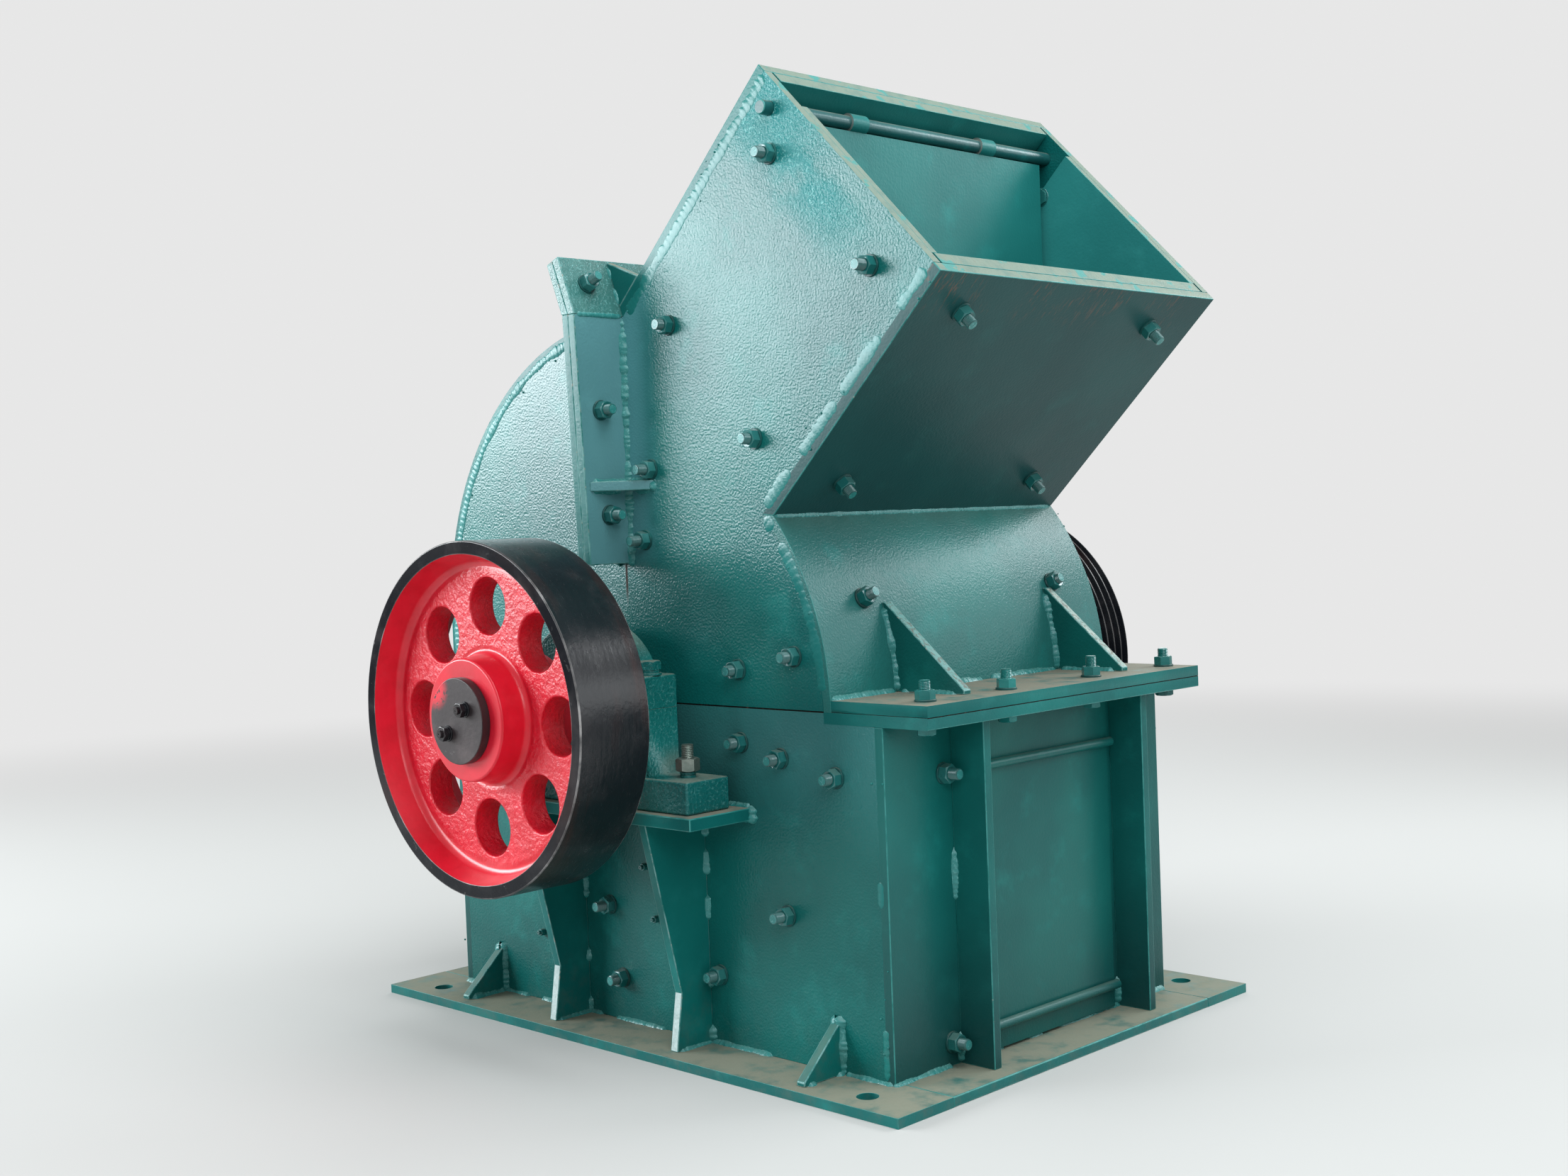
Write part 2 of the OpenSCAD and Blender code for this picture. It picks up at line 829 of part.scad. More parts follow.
module feed_flap() {
    color("teal") difference() {
        union() {
            block(
                [rod.x - flap_t / 2, -flap_y, rod.y - flap_len],
                [rod.x + flap_t / 2, flap_y, rod.y - flap_top]
            );
            for (y = [-barrel_y, barrel_y]) {
                bar(rod, barrel_r, y - barrel_len / 2, y + barrel_len / 2);
                block(
                    [rod.x - flap_t / 2, y - barrel_len / 2, rod.y - flap_top - 1],
                    [rod.x + flap_t / 2, y + barrel_len / 2, rod.y]
                );
            }
        }
        bar(rod, rod_r + running_gap, -side_y, side_y);
    }
}

base_side_strips();
base_cross_strips();
lower_side_near();
lower_side_far();
lower_front_wall();
lower_rear_wall();
front_wall_ribs();
front_wall_panel();
lower_front_flange();
upper_front_flange();
flange_gussets();
lower_rear_flange();
upper_rear_flange();
corner_gussets();
stand_ribs();
bearing_shelves();
pillow_block_near();
pillow_block_far();
pillow_cap_near();
pillow_cap_far();
upper_side_near();
upper_side_far();
round_front_plate();
hopper_lower_plate();
hopper_upper_plate();
hopper_cross_liners();
hopper_side_liners();
top_gussets();
cover_side_near();
cover_side_far();
cover_skin();
body_upright_flanges();
cover_upright_flanges();
body_top_flange();
cover_top_flange();
flange_stiffeners();
flap_rod();
grate_bars();
grate_rails();
rotor_shaft();
rotor_discs();
disc_collars();
hammer_pins();
hammers();
flywheel();
belt_pulley();
shaft_end_plates();
feed_flap();
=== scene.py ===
import math
import random

import bmesh
import bpy
from mathutils import Matrix, Vector, noise


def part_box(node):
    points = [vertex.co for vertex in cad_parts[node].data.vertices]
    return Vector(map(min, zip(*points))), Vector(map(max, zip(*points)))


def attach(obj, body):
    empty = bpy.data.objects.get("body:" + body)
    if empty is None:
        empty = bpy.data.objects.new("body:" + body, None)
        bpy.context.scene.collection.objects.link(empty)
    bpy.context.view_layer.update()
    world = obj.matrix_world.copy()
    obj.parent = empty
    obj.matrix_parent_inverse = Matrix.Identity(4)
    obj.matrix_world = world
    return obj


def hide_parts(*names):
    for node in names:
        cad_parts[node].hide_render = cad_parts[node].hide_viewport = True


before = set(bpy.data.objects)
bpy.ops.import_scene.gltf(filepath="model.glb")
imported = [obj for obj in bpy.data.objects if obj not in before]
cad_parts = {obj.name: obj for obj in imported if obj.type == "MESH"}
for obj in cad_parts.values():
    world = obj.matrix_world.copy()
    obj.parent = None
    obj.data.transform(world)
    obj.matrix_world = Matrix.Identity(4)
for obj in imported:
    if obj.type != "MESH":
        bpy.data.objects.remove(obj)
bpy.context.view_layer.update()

scene = bpy.context.scene
mm = 0.001
print("frame loaded,", len(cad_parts), "nodes")


# places taken from the frame, in metres; a point of the side plane has its X first and its Z second
sideY = -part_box("lower_side_near")[0].y
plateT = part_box("lower_side_near")[1].y + sideY
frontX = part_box("lower_front_wall")[1].x
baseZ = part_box("base_cross_strips")[1].z
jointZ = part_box("lower_front_flange")[1].z
flangeLow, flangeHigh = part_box("lower_front_flange")[0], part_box("upper_front_flange")[1]
flangeZ = flangeHigh.z
shaftLow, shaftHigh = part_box("rotor_shaft")
shaft = Vector(((shaftLow.x + shaftHigh.x) / 2, (shaftLow.z + shaftHigh.z) / 2))
uprightLow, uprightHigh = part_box("body_upright_flanges")
seamX = uprightLow.x
uprightFront = uprightHigh.x
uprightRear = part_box("cover_upright_flanges")[0].x
shelfLow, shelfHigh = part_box("bearing_shelves")
footLow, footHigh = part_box("pillow_block_near")
capLow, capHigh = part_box("pillow_cap_near")
ribLow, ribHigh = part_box("front_wall_ribs")

# driving sizes of the sloping and curved sheets, in mm and degrees
hopper = {"slope": 43.6, "mouth": 45.8, "depth": 445, "plate": 16, "liner": 12, "apexOut": 335}
curves = {"round": 426, "cover": 450, "coverRise": 634, "lean": 21}


def flat(point, y):
    # a point of the side plane, at that y
    return Vector((point.x, y, point.y))


def heading(angle):
    return Vector((math.cos(math.radians(angle)), math.sin(math.radians(angle))))


def downTo(point, centre, radius):
    # where the line down the duct from point meets a circle
    q = point - centre
    b = q.dot(duct)
    return point - (b - math.sqrt(b * b - (q.dot(q) - radius * radius))) * duct


duct = heading(hopper["slope"])
ductUp = heading(hopper["slope"] + 90)
mouth = heading(-hopper["mouth"])
mouthOut = heading(90 - hopper["mouth"])
skew = mouth.dot(-ductUp)
apex = Vector((shaft.x + hopper["apexOut"] * mm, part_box("hopper_upper_plate")[1].z))
lip = apex + hopper["depth"] * mm * mouth
apexIn = apex + hopper["plate"] * mm / skew * mouth
lipIn = lip - hopper["plate"] * mm / skew * mouth
junction = downTo(lip, shaft, curves["round"] * mm)
junctionIn = downTo(lipIn, shaft, curves["round"] * mm - plateT)
coverC = Vector((curves["cover"] * mm - frontX, curves["coverRise"] * mm))
leanUp = heading(90 + curves["lean"])
leanOut = heading(curves["lean"])
leanFoot = Vector((seamX + (uprightFront - seamX) / leanOut.x, uprightHigh.z))
leanBack = Vector((seamX - (uprightFront - seamX) / leanOut.x, uprightHigh.z))


def meet(p, d, q, e):
    return p + (q - p).cross(e) / d.cross(e) * d


upperEnd = meet(apex, duct, leanFoot, leanUp)
upperEndIn = meet(apexIn, duct, leanFoot, leanUp)


def bearing(point, centre):
    return math.degrees(math.atan2(point.y - centre.y, point.x - centre.x))


def arc(centre, radius, first, last, y):
    count = max(4, int(abs(last - first) / 2))
    return [flat(centre + radius * heading(first + (last - first) * k / count), y) for k in range(count + 1)]


# seams on the flywheel's side face, where the side plates meet the sheets that close them
roundIn = curves["round"] * mm - plateT
coverIn = curves["cover"] * mm - plateT
cornerX = frontX - plateT
frontEnd = math.degrees(math.asin((flangeZ - shaft.y) / roundIn))
rearTop = coverC.y + math.sqrt(coverIn ** 2 - (uprightRear - coverC.x) ** 2)
rearStart = bearing(Vector((uprightRear, rearTop)), coverC)
seams = {
    "upper": [flat(apexIn, -sideY), flat(upperEndIn, -sideY)],
    "lower": [flat(lipIn, -sideY), flat(junctionIn, -sideY)],
    "front": arc(shaft, roundIn, bearing(junctionIn, shaft), frontEnd, -sideY),
    "rear": arc(coverC, coverIn, rearStart, 180, -sideY) + [Vector((coverC.x - coverIn, -sideY, flangeZ))],
    "front corner": [Vector((cornerX, -sideY, baseZ)), Vector((cornerX, -sideY, jointZ))],
    "rear corner": [Vector((-cornerX, -sideY, baseZ)), Vector((-cornerX, -sideY, jointZ))],
}


def onSeam(point):
    if abs(abs(point.y) - sideY) > 1 * mm:
        return False
    for line in seams.values():
        for a, b in zip(line, line[1:]):
            along = b - a
            spot = Vector((point.x, a.y, point.z))
            share = min(1.0, max(0.0, (spot - a).dot(along) / along.length_squared))
            if (spot - a - share * along).length < 2 * mm:
                return True
    return False


class Socket:
    # an output of a node; arithmetic on it adds Math nodes
    def __init__(self, recipe, out):
        self.recipe = recipe
        self.out = out

    def math(self, operation, first, second):
        return self.recipe.add("Math", {"operation": operation}, {0: first, 1: second})

    def __add__(self, other):
        return self.math("ADD", self, other)

    def __radd__(self, other):
        return self.math("ADD", other, self)

    def __sub__(self, other):
        return self.math("SUBTRACT", self, other)

    def __rsub__(self, other):
        return self.math("SUBTRACT", other, self)

    def __mul__(self, other):
        return self.math("MULTIPLY", self, other)

    def __rmul__(self, other):
        return self.math("MULTIPLY", other, self)

    def __abs__(self):
        return self.math("ABSOLUTE", self, 0)

    def most(self, other):
        return self.math("MAXIMUM", self, other)

    def between(self, low, high):
        # 0 at low and 1 at high, with a soft start and end
        soft = {"interpolation_type": "SMOOTHSTEP"}
        return self.recipe.add("MapRange", soft, {0: self, 1: low, 2: high})


class Recipe:
    # the nodes of one material or of the world
    def __init__(self, owner):
        owner.use_nodes = True
        self.owner = owner
        self.tree = owner.node_tree
        self.tree.nodes.clear()
        self.place = None

    def add(self, kind, settings=None, inputs=None, output=0):
        node = self.tree.nodes.new("ShaderNode" + kind)
        for name, value in (settings or {}).items():
            setattr(node, name, value)
        for name, value in (inputs or {}).items():
            if isinstance(value, Socket):
                self.tree.links.new(value.out, node.inputs[name])
            else:
                node.inputs[name].default_value = value
        return Socket(self, node.outputs[output]) if len(node.outputs) else None

    def where(self):
        self.place = self.place or self.add("TexCoord", output="Object")
        return self.place

    def axis(self, name):
        # metres along X, Y or Z in the row frame
        return self.add("SeparateXYZ", {}, {0: self.where()}, output=name)

    def facing(self, name):
        normal = self.add("NewGeometry", output="Normal")
        return self.add("SeparateXYZ", {}, {0: normal}, output=name)

    def cloud(self, size, detail=2.0, rough=0.5, stretch=None, shift=0.0):
        # noise with features about size mm across
        point = self.where()
        if stretch:
            point = self.add("VectorMath", {"operation": "MULTIPLY"}, {0: point, 1: stretch})
        if shift:
            point = self.add("VectorMath", {"operation": "ADD"}, {0: point, 1: (shift, -shift, shift)})
        inputs = {"Vector": point, "Scale": 1000 / size, "Detail": detail, "Roughness": rough}
        return self.add("TexNoise", {}, inputs)

    def near(self, spot, inner, outer):
        # 1 within inner mm of a spot, 0 beyond outer mm
        gap = self.add("VectorMath", {"operation": "DISTANCE"}, {0: self.where(), 1: spot}, output="Value")
        return 1 - gap.between(inner * mm, outer * mm)

    def behind(self, spot, out):
        # metres behind the plane through a spot of the side plane that faces out
        gap = self.add("VectorMath", {"operation": "SUBTRACT"}, {0: flat(spot, 0), 1: self.where()})
        return self.add("VectorMath", {"operation": "DOT_PRODUCT"}, {0: gap, 1: flat(out, 0)}, output="Value")

    def radius(self):
        # distance from the shaft's axis
        level = self.add("VectorMath", {"operation": "MULTIPLY"}, {0: self.where(), 1: (1, 0, 1)})
        spot = (shaft.x, 0, shaft.y)
        return self.add("VectorMath", {"operation": "DISTANCE"}, {0: level, 1: spot}, output="Value")

    def mix(self, share, first, second):
        first = first if isinstance(first, Socket) else (*first, 1)
        second = second if isinstance(second, Socket) else (*second, 1)
        return self.add("Mix", {"data_type": "RGBA"}, {0: share, 6: first, 7: second}, output=2)

    def relief(self, height):
        # height in mm
        return self.add("Bump", {}, {"Strength": 1.0, "Distance": mm, "Height": height})

    def finish(self, inputs):
        shader = self.add("BsdfPrincipled", {}, inputs)
        self.add("OutputMaterial", {}, {"Surface": shader})
        return self.owner


# teal enamel; sizes and depths of the relief are in mm
# the bright tone is the colour of painted glints
teal = {
    "tone": (0.006, 0.160, 0.147), "shade": (0.004, 0.108, 0.104), "light": (0.016, 0.235, 0.218),
    "bright": (0.22, 0.55, 0.54), "dustTone": (0.225, 0.225, 0.175), "grimeTone": (0.105, 0.120, 0.098),
    "dust": 0.5, "grime": 0.5, "peel": 0.26, "peelSize": 3.8, "waves": 1.2, "gloss": 0.26, "shine": 0.33,
    "tint": (0.88, 0.96, 1.0), "floorShade": 0.0, "haze": 0.0, "glints": 0.0, "mouthTintAndGlints": 0.0, "mouthPeel": 0.0,
    "scuff": 0.0,
}
# colours of single places: the ground tone is painted shade near the floor, the tone below the joint a
# painted sheen, and the corner tone painted light by the upright flanges; mouth, scuff and run are the
# paint's own
placeTones = {
    "mouth": (0.006, 0.225, 0.228), "scuff": (0.15, 0.085, 0.060), "ground": (0.008, 0.050, 0.050),
    "lowSheen": (0.11, 0.32, 0.34), "corner": (0.13, 0.38, 0.42), "run": (0.040, 0.028, 0.024),
}


def byApex(paint, inner, outer):
    # 1 within inner mm of the apex on either side, 0 beyond outer mm
    return paint.near(flat(apex, -sideY), inner, outer).most(paint.near(flat(apex, sideY), inner, outer))


def mouthPatches(paint):
    # thicker, brighter paint about the apex and in patches behind the mouth, on the outer faces; painted
    # glints are strewn there too
    back = paint.behind(lip, mouthOut)
    uneven = paint.cloud(80, 2, shift=8.0).between(0.28, 0.46)
    patches = byApex(paint, 210, 360) * back.between(0.018, 0.045) * uneven
    outer = abs(paint.axis("Y")).between(sideY - 0.002, sideY - 0.001)
    return byApex(paint, 80, 240).most(patches) * (1 - back.between(0.065, 0.14)) * outer


def feedScratches(paint):
    # where feed has scratched the paint behind the lip
    scratch = paint.cloud(9, 4, 0.7, stretch=(0.3, 1.6, 0.3), shift=11.0).between(0.52, 0.66)
    band = 1 - paint.behind(lip, mouthOut).between(0.015, 0.085)
    return scratch * (band * paint.cloud(120, 1, shift=12.0).between(0.45, 0.60))


def litFlangeCorner(paint):
    # painted light: the side plates' corner by the upright flanges, made pale and bluish where the flanges
    # shade it
    x = paint.axis("X")
    corner = (1 - x.between(uprightFront + 0.012, uprightFront + 0.08)) * x.between(seamX, uprightFront)
    return corner * paint.axis("Z").between(uprightLow.z - 0.02, uprightLow.z + 0.04)


def brownRun(paint):
    # a thin run that has dried below the upright flanges
    x, z = paint.axis("X"), paint.axis("Z")
    run = x.between(seamX - 0.0035, seamX - 0.001) * (1 - x.between(seamX + 0.001, seamX + 0.004))
    run = run * (1 - z.between(uprightLow.z - 0.004, uprightLow.z))
    return run * z.between(uprightLow.z - 0.07, uprightLow.z - 0.03)


def enamel(name, changes, dripAndLitCorner=False):
    # changes are what differs from teal
    look = {**teal, **changes}
    paint = Recipe(bpy.data.materials.new(name))
    broad = paint.cloud(260, 3)
    patch = paint.cloud(70, 4, 0.6)
    peel = paint.cloud(look["peelSize"], 2.5, 0.45)
    height = paint.axis("Z")
    lay = paint.facing("Z")
    zone = mouthPatches(paint) if look["mouthTintAndGlints"] else 0.0
    dust = lay.between(0.5, 0.97) * paint.cloud(45, 5, 0.65).between(0.15, 0.55) * look["dust"]
    low = (1 - height.between(0.02, 0.16)) * paint.cloud(30, 5, 0.7).between(0.42, 0.72) * look["grime"]
    colour = paint.mix(broad.between(0.35, 0.68), look["shade"], look["tone"])
    colour = paint.mix(patch.between(0.52, 0.80) * 0.55, colour, look["light"])
    colour = paint.mix(zone * look["mouthTintAndGlints"], colour, placeTones["mouth"])
    # painted glints: pale worm lines and specks in the bright tone, on the mouth patches and wherever a look
    # asks for glints; the relief rises under them
    glintLines = 1 - abs(paint.cloud(8, 2, shift=9.0) - 0.5).between(0.008, 0.036)
    grain = paint.cloud(5, 3, 0.6, shift=3.0).between(0.44, 0.56)
    glints = glintLines * grain * (zone * look["mouthTintAndGlints"] + look["glints"])
    colour = paint.mix(glints, colour, look["bright"])
    colour = paint.mix(low * 0.5, colour, look["grimeTone"])
    if look["scuff"]:
        colour = paint.mix(feedScratches(paint) * look["scuff"], colour, placeTones["scuff"])
    # painted shade, darker towards the floor
    colour = paint.mix((1 - height.between(0.02, 0.34)) * look["floorShade"], colour, placeTones["ground"])
    if look["haze"]:  # a painted sheen, pale and bluish, growing towards the joint on the lower side plates
        lowSheen = height.between(jointZ - 0.22, jointZ - 0.04)
        colour = paint.mix(lowSheen * look["haze"], colour, placeTones["lowSheen"])
    run = 0.0
    if dripAndLitCorner:
        # painted light in the upright flanges' shade, then the brown run that has dried below them
        colour = paint.mix(litFlangeCorner(paint) * 0.72, colour, placeTones["corner"])
        run = brownRun(paint)
        colour = paint.mix(run, colour, placeTones["run"])
    colour = paint.mix(dust, colour, look["dustTone"])
    lumps = peel * (zone * look["mouthPeel"] + look["peel"]) + paint.cloud(130, 2) * look["waves"]
    lumps = lumps + paint.cloud(14, 2) * 0.10 + glints * 0.22
    rough = look["gloss"] + patch * 0.10 + dust * 0.5 + low * 0.25 + run * 0.7 + zone * 0.14
    return paint.finish({"Base Color": colour, "Roughness": rough, "IOR": 1.45,
                         "Specular IOR Level": look["shine"], "Specular Tint": (*look["tint"], 1),
                         "Normal": paint.relief(lumps)})


# worn edges: the paint is thin there, with a few bare spots; the paler teal along them is partly a painted
# edge highlight
edgeWearAndHighlight = {"pale": (0.040, 0.250, 0.235), "bare": (0.34, 0.37, 0.33), "share": 0.12, "size": 22}


def edgePaintWithHighlight(name, look):
    paint = Recipe(bpy.data.materials.new(name))
    patch = paint.cloud(look["size"], 5, 0.65)
    colour = paint.mix(patch.between(0.32, 0.62), teal["tone"], look["pale"])
    bare = paint.cloud(9, 4, 0.7, shift=3.0).between(0.70 - look["share"] * 0.4, 0.78 - look["share"] * 0.3)
    colour = paint.mix(bare, colour, look["bare"])
    lumps = paint.cloud(5, 3) * 0.35 + paint.cloud(1.6, 2) * 0.12
    return paint.finish({"Base Color": colour, "Roughness": 0.36 + bare * 0.25, "Specular IOR Level": 0.35,
                         "Normal": paint.relief(lumps)})


# the mouth's rim, where feed has rubbed the paint off
rimWear = {"pale": (0.155, 0.215, 0.170), "dull": (0.100, 0.180, 0.150), "rust": (0.20, 0.080, 0.035)}


def mouthRim(name, look):
    paint = Recipe(bpy.data.materials.new(name))
    patch = paint.cloud(24, 5, 0.65)
    colour = paint.mix(patch.between(0.30, 0.56), look["dull"], look["pale"])
    left = paint.cloud(34, 4, 0.6, shift=2.0).between(0.57, 0.63)
    colour = paint.mix(left * 0.85, colour, teal["light"])
    rust = paint.cloud(7, 5, 0.75, shift=5.0).between(0.58, 0.68)
    corner = paint.near(flat(lipIn, sideY), 40, 190).most(paint.near(flat(lipIn, -sideY), 20, 120) * 0.7)
    colour = paint.mix(rust * (corner * 0.75 + 0.15), colour, look["rust"])
    lumps = paint.cloud(6, 4, 0.6) * 0.6 + paint.cloud(1.5, 2) * 0.2
    return paint.finish({"Base Color": colour, "Roughness": 0.45 + patch * 0.2,
                         "Normal": paint.relief(lumps)})


def cutEdge(name, pale, share, stain):
    # flame-cut edge with thin pale paint, drag lines and brown stains
    paint = Recipe(bpy.data.materials.new(name))
    drag = paint.cloud(5, 3, 0.6, stretch=(6, 6, 1))
    worn = paint.cloud(16, 5, 0.65, shift=1.0).between(0.30, 0.30 + share)
    colour = paint.mix(worn, pale, teal["light"])
    colour = paint.mix(drag.between(0.5, 0.75) * 0.35, colour, teal["tone"])
    brown = paint.cloud(6, 4, 0.65, shift=4.0).between(0.48, 0.60)
    colour = paint.mix(brown * stain, colour, (0.10, 0.070, 0.048))
    lumps = drag * 0.5 + paint.cloud(9, 3) * 0.6
    return paint.finish({"Base Color": colour, "Roughness": 0.42 + worn * 0.1, "Normal": paint.relief(lumps)})


# black gloss over machined iron, rubbed at the edges
blackLook = {"tone": (0.006, 0.007, 0.010), "worn": (0.060, 0.055, 0.058), "brown": (0.040, 0.012, 0.010)}


def blackPaint(name, look, gloss=0.20, worn=0.30, shine=0.40, depth=1.0, redLap=False):
    paint = Recipe(bpy.data.materials.new(name))
    turned = paint.cloud(30, 4, 0.6, stretch=(0.35, 4, 0.35))
    patch = paint.cloud(60, 4, 0.6)
    colour = paint.mix(patch.between(0.45, 0.75) * worn, look["tone"], look["worn"])
    band = paint.cloud(95, 3, 0.5, stretch=(0.4, 2.2, 0.4), shift=4.0).between(0.52, 0.68)
    colour = paint.mix(band * 0.45, colour, look["brown"])
    scuff = paint.cloud(4, 4, 0.7, stretch=(0.3, 3, 0.3), shift=6.0).between(0.64, 0.74)
    colour = paint.mix(scuff * worn * 0.8, colour, (0.18, 0.17, 0.17))
    if redLap:  # red brushed over one spot of the plate's rim
        spot = (shaft.x - 48 * mm, nearFace, shaft.y + 44 * mm)
        lap = paint.near(spot, 12, 34) * paint.cloud(9, 3, 0.6, shift=7.0).between(0.40, 0.44)
        colour = paint.mix(lap, colour, redLook["tone"])
    lumps = turned * 0.25 + paint.cloud(7, 3) * 0.25 + paint.cloud(2, 2) * 0.06
    return paint.finish({"Base Color": colour, "Roughness": gloss + patch * 0.12 + scuff * 0.2,
                         "Specular IOR Level": shine, "Normal": paint.relief(lumps * depth)})


redLook = {"tone": (0.70, 0.012, 0.034), "shade": (0.52, 0.006, 0.018), "dull": (0.68, 0.085, 0.115)}


def redPaint(name, look):
    # red gloss; the web is left as cast, the boss and rim are turned smooth
    paint = Recipe(bpy.data.materials.new(name))
    reach = paint.radius()
    web = reach.between(0.095, 0.104) * (1 - reach.between(0.205, 0.216))
    patch = paint.cloud(50, 4, 0.6)
    colour = paint.mix(patch.between(0.35, 0.7) * 0.6, look["tone"], look["shade"])
    # paler, pinker patches, most on the cast web: chalky paint and partly a painted sheen
    haze = paint.cloud(18, 5, 0.65, shift=2.0).between(0.50, 0.75)
    colour = paint.mix(haze * (web * 0.3 + 0.08), colour, look["dull"])
    pits = paint.cloud(5, 4, 0.65, shift=3.0).between(0.66, 0.76)
    colour = paint.mix(pits * 0.5, colour, (0.20, 0.008, 0.014))
    lumps = paint.cloud(12, 4, 0.6) * (web * 2.6 + 0.2) + paint.cloud(5, 3, 0.6) * (web * 1.1 + 0.1)
    return paint.finish({"Base Color": colour, "Roughness": 0.24 + patch * 0.12,
                         "Normal": paint.relief(lumps)})


def bareSteel(name, tone, stain, rough, lines=(1, 1, 1), rust=0.6):
    metal = Recipe(bpy.data.materials.new(name))
    patch = metal.cloud(28, 5, 0.65)
    spots = metal.cloud(7, 5, 0.7, shift=2.0).between(0.56, 0.70)
    colour = metal.mix(patch.between(0.35, 0.7), tone, stain)
    colour = metal.mix(spots * rust, colour, (0.13, 0.060, 0.030))
    scratch = metal.cloud(4, 4, 0.6, stretch=lines, shift=1.0)
    lumps = scratch * 0.25 + metal.cloud(9, 4, 0.6) * 0.4
    return metal.finish({"Base Color": colour, "Metallic": 0.85 - spots * rust,
                         "Roughness": rough + patch * 0.25, "Normal": metal.relief(lumps)})


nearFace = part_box("shaft_end_plates")[0].y
tealPlate = enamel("teal_plate", {})
tealRound = enamel("teal_round_plate", {"tone": (0.018, 0.180, 0.165), "shade": (0.018, 0.130, 0.122),
    "peel": 0.7, "peelSize": 3.2, "waves": 1.7, "gloss": 0.27, "dust": 0.9})
# a darker copy for the hopper's underside: painted shade, with feed scratches
tealUnderShade = enamel("teal_underside_painted_shade", {"tone": (0.012, 0.078, 0.078), "shade": (0.010, 0.060, 0.062),
    "light": (0.018, 0.105, 0.102), "shine": 0.22, "gloss": 0.32, "scuff": 0.9})
sideLook = {"peel": 0.72, "peelSize": 3.4, "waves": 0.9, "gloss": 0.20, "shine": 0.42}
tealSide = enamel("teal_side_plate", {**sideLook, "mouthPeel": 1.0, "mouthTintAndGlints": 0.85}, dripAndLitCorner=True)
tealCover = enamel("teal_cover_side", {**sideLook, "shine": 0.58}, dripAndLitCorner=True)
# a darker copy of the teal for the lower side plates, the front wall, its panel and the flange gussets:
# painted shade
lowShadeLook = {"tone": (0.006, 0.140, 0.128), "shade": (0.005, 0.092, 0.087),
    "light": (0.012, 0.215, 0.197), "grime": 0.2}
tealLowSide = enamel("teal_lower_side", {**sideLook, **lowShadeLook, "shine": 0.32, "haze": 0.28})
# the front wall and its panel also take painted shade towards the floor
tealWall = enamel("teal_front_wall", {**lowShadeLook, "floorShade": 0.75})
tealPanel = enamel("teal_front_panel", {**lowShadeLook, "tone": (0.008, 0.140, 0.124), "dust": 0.2,
    "floorShade": 0.4})
tealSeam = enamel("teal_seam_weld", {**sideLook, "tone": (0.014, 0.205, 0.190),
    "shade": (0.008, 0.150, 0.142), "light": (0.05, 0.30, 0.285), "peel": 0.2, "waves": 0.0,
    "dust": 0.1})
tealFlange = enamel("teal_flange", {"dust": 0.92, "dustTone": (0.235, 0.215, 0.165)})
# a lighter copy with glints for the leaning top flanges: painted sheen
tealLeanSheen = enamel("teal_leaning_flange_painted_sheen", {"tone": (0.040, 0.185, 0.172), "shade": (0.050, 0.130, 0.115),
    "light": (0.10, 0.27, 0.25), "dust": 0.3, "glints": 0.4, "peel": 1.1, "shine": 0.5})
tealBase = enamel("teal_base", {"dust": 0.92, "grime": 0.7, "dustTone": (0.225, 0.228, 0.172)})
# rough castings, with painted glints
tealCast = enamel("teal_casting", {"peel": 1.5, "peelSize": 4.6, "gloss": 0.27, "dust": 0.6,
    "glints": 0.22, "shine": 0.5})
tealBolt = enamel("teal_bolt", {"peelSize": 4, "tone": (0.026, 0.178, 0.170),
    "light": (0.10, 0.34, 0.33), "dust": 0.3, "waves": 0.0, "gloss": 0.15, "shine": 0.9})
# a lighter copy for the nuts on the joint flanges: painted light
litBolt = enamel("teal_flange_bolt_painted_light", {"peelSize": 4, "tone": (0.020, 0.270, 0.255),
    "light": (0.07, 0.40, 0.38), "dust": 0.2, "waves": 0.0, "gloss": 0.16, "shine": 0.8})
# a paler teal with glints for the welds and the bolts' tips: painted highlight
tealWeldGlint = enamel("teal_weld_painted_highlight", {"tone": (0.040, 0.250, 0.238), "shade": (0.020, 0.190, 0.182),
    "light": (0.15, 0.42, 0.41), "peel": 0.25, "peelSize": 3, "gloss": 0.22, "dust": 0.20, "waves": 0.0,
    "shine": 0.5, "glints": 0.35})
tealInside = enamel("teal_inside", {"tone": (0.014, 0.170, 0.160), "shade": (0.010, 0.134, 0.128),
    "dust": 0.2, "shine": 0.20, "gloss": 0.34})
tealLiner = enamel("teal_side_liner", {"tone": (0.034, 0.280, 0.270), "shade": (0.026, 0.220, 0.214),
    "light": (0.05, 0.33, 0.32), "dust": 0.2, "shine": 0.22, "gloss": 0.34})
# a paler, bluer copy for the upright flanges' front faces and the stiffeners: painted sheen
tealUprightSheen = enamel("teal_upright_painted_sheen", {"tone": (0.115, 0.300, 0.325), "shade": (0.085, 0.235, 0.255),
    "light": (0.14, 0.37, 0.39), "peel": 0.6, "dustTone": (0.235, 0.215, 0.165)})
tealGusset = enamel("teal_gusset", {**lowShadeLook, "dust": 0.1, "peel": 0.5})
# a darker copy for the flap's rod: painted shade
tealRod = enamel("teal_rod_painted_shade", {"tone": (0.010, 0.100, 0.100), "shade": (0.008, 0.070, 0.072),
    "shine": 0.5})
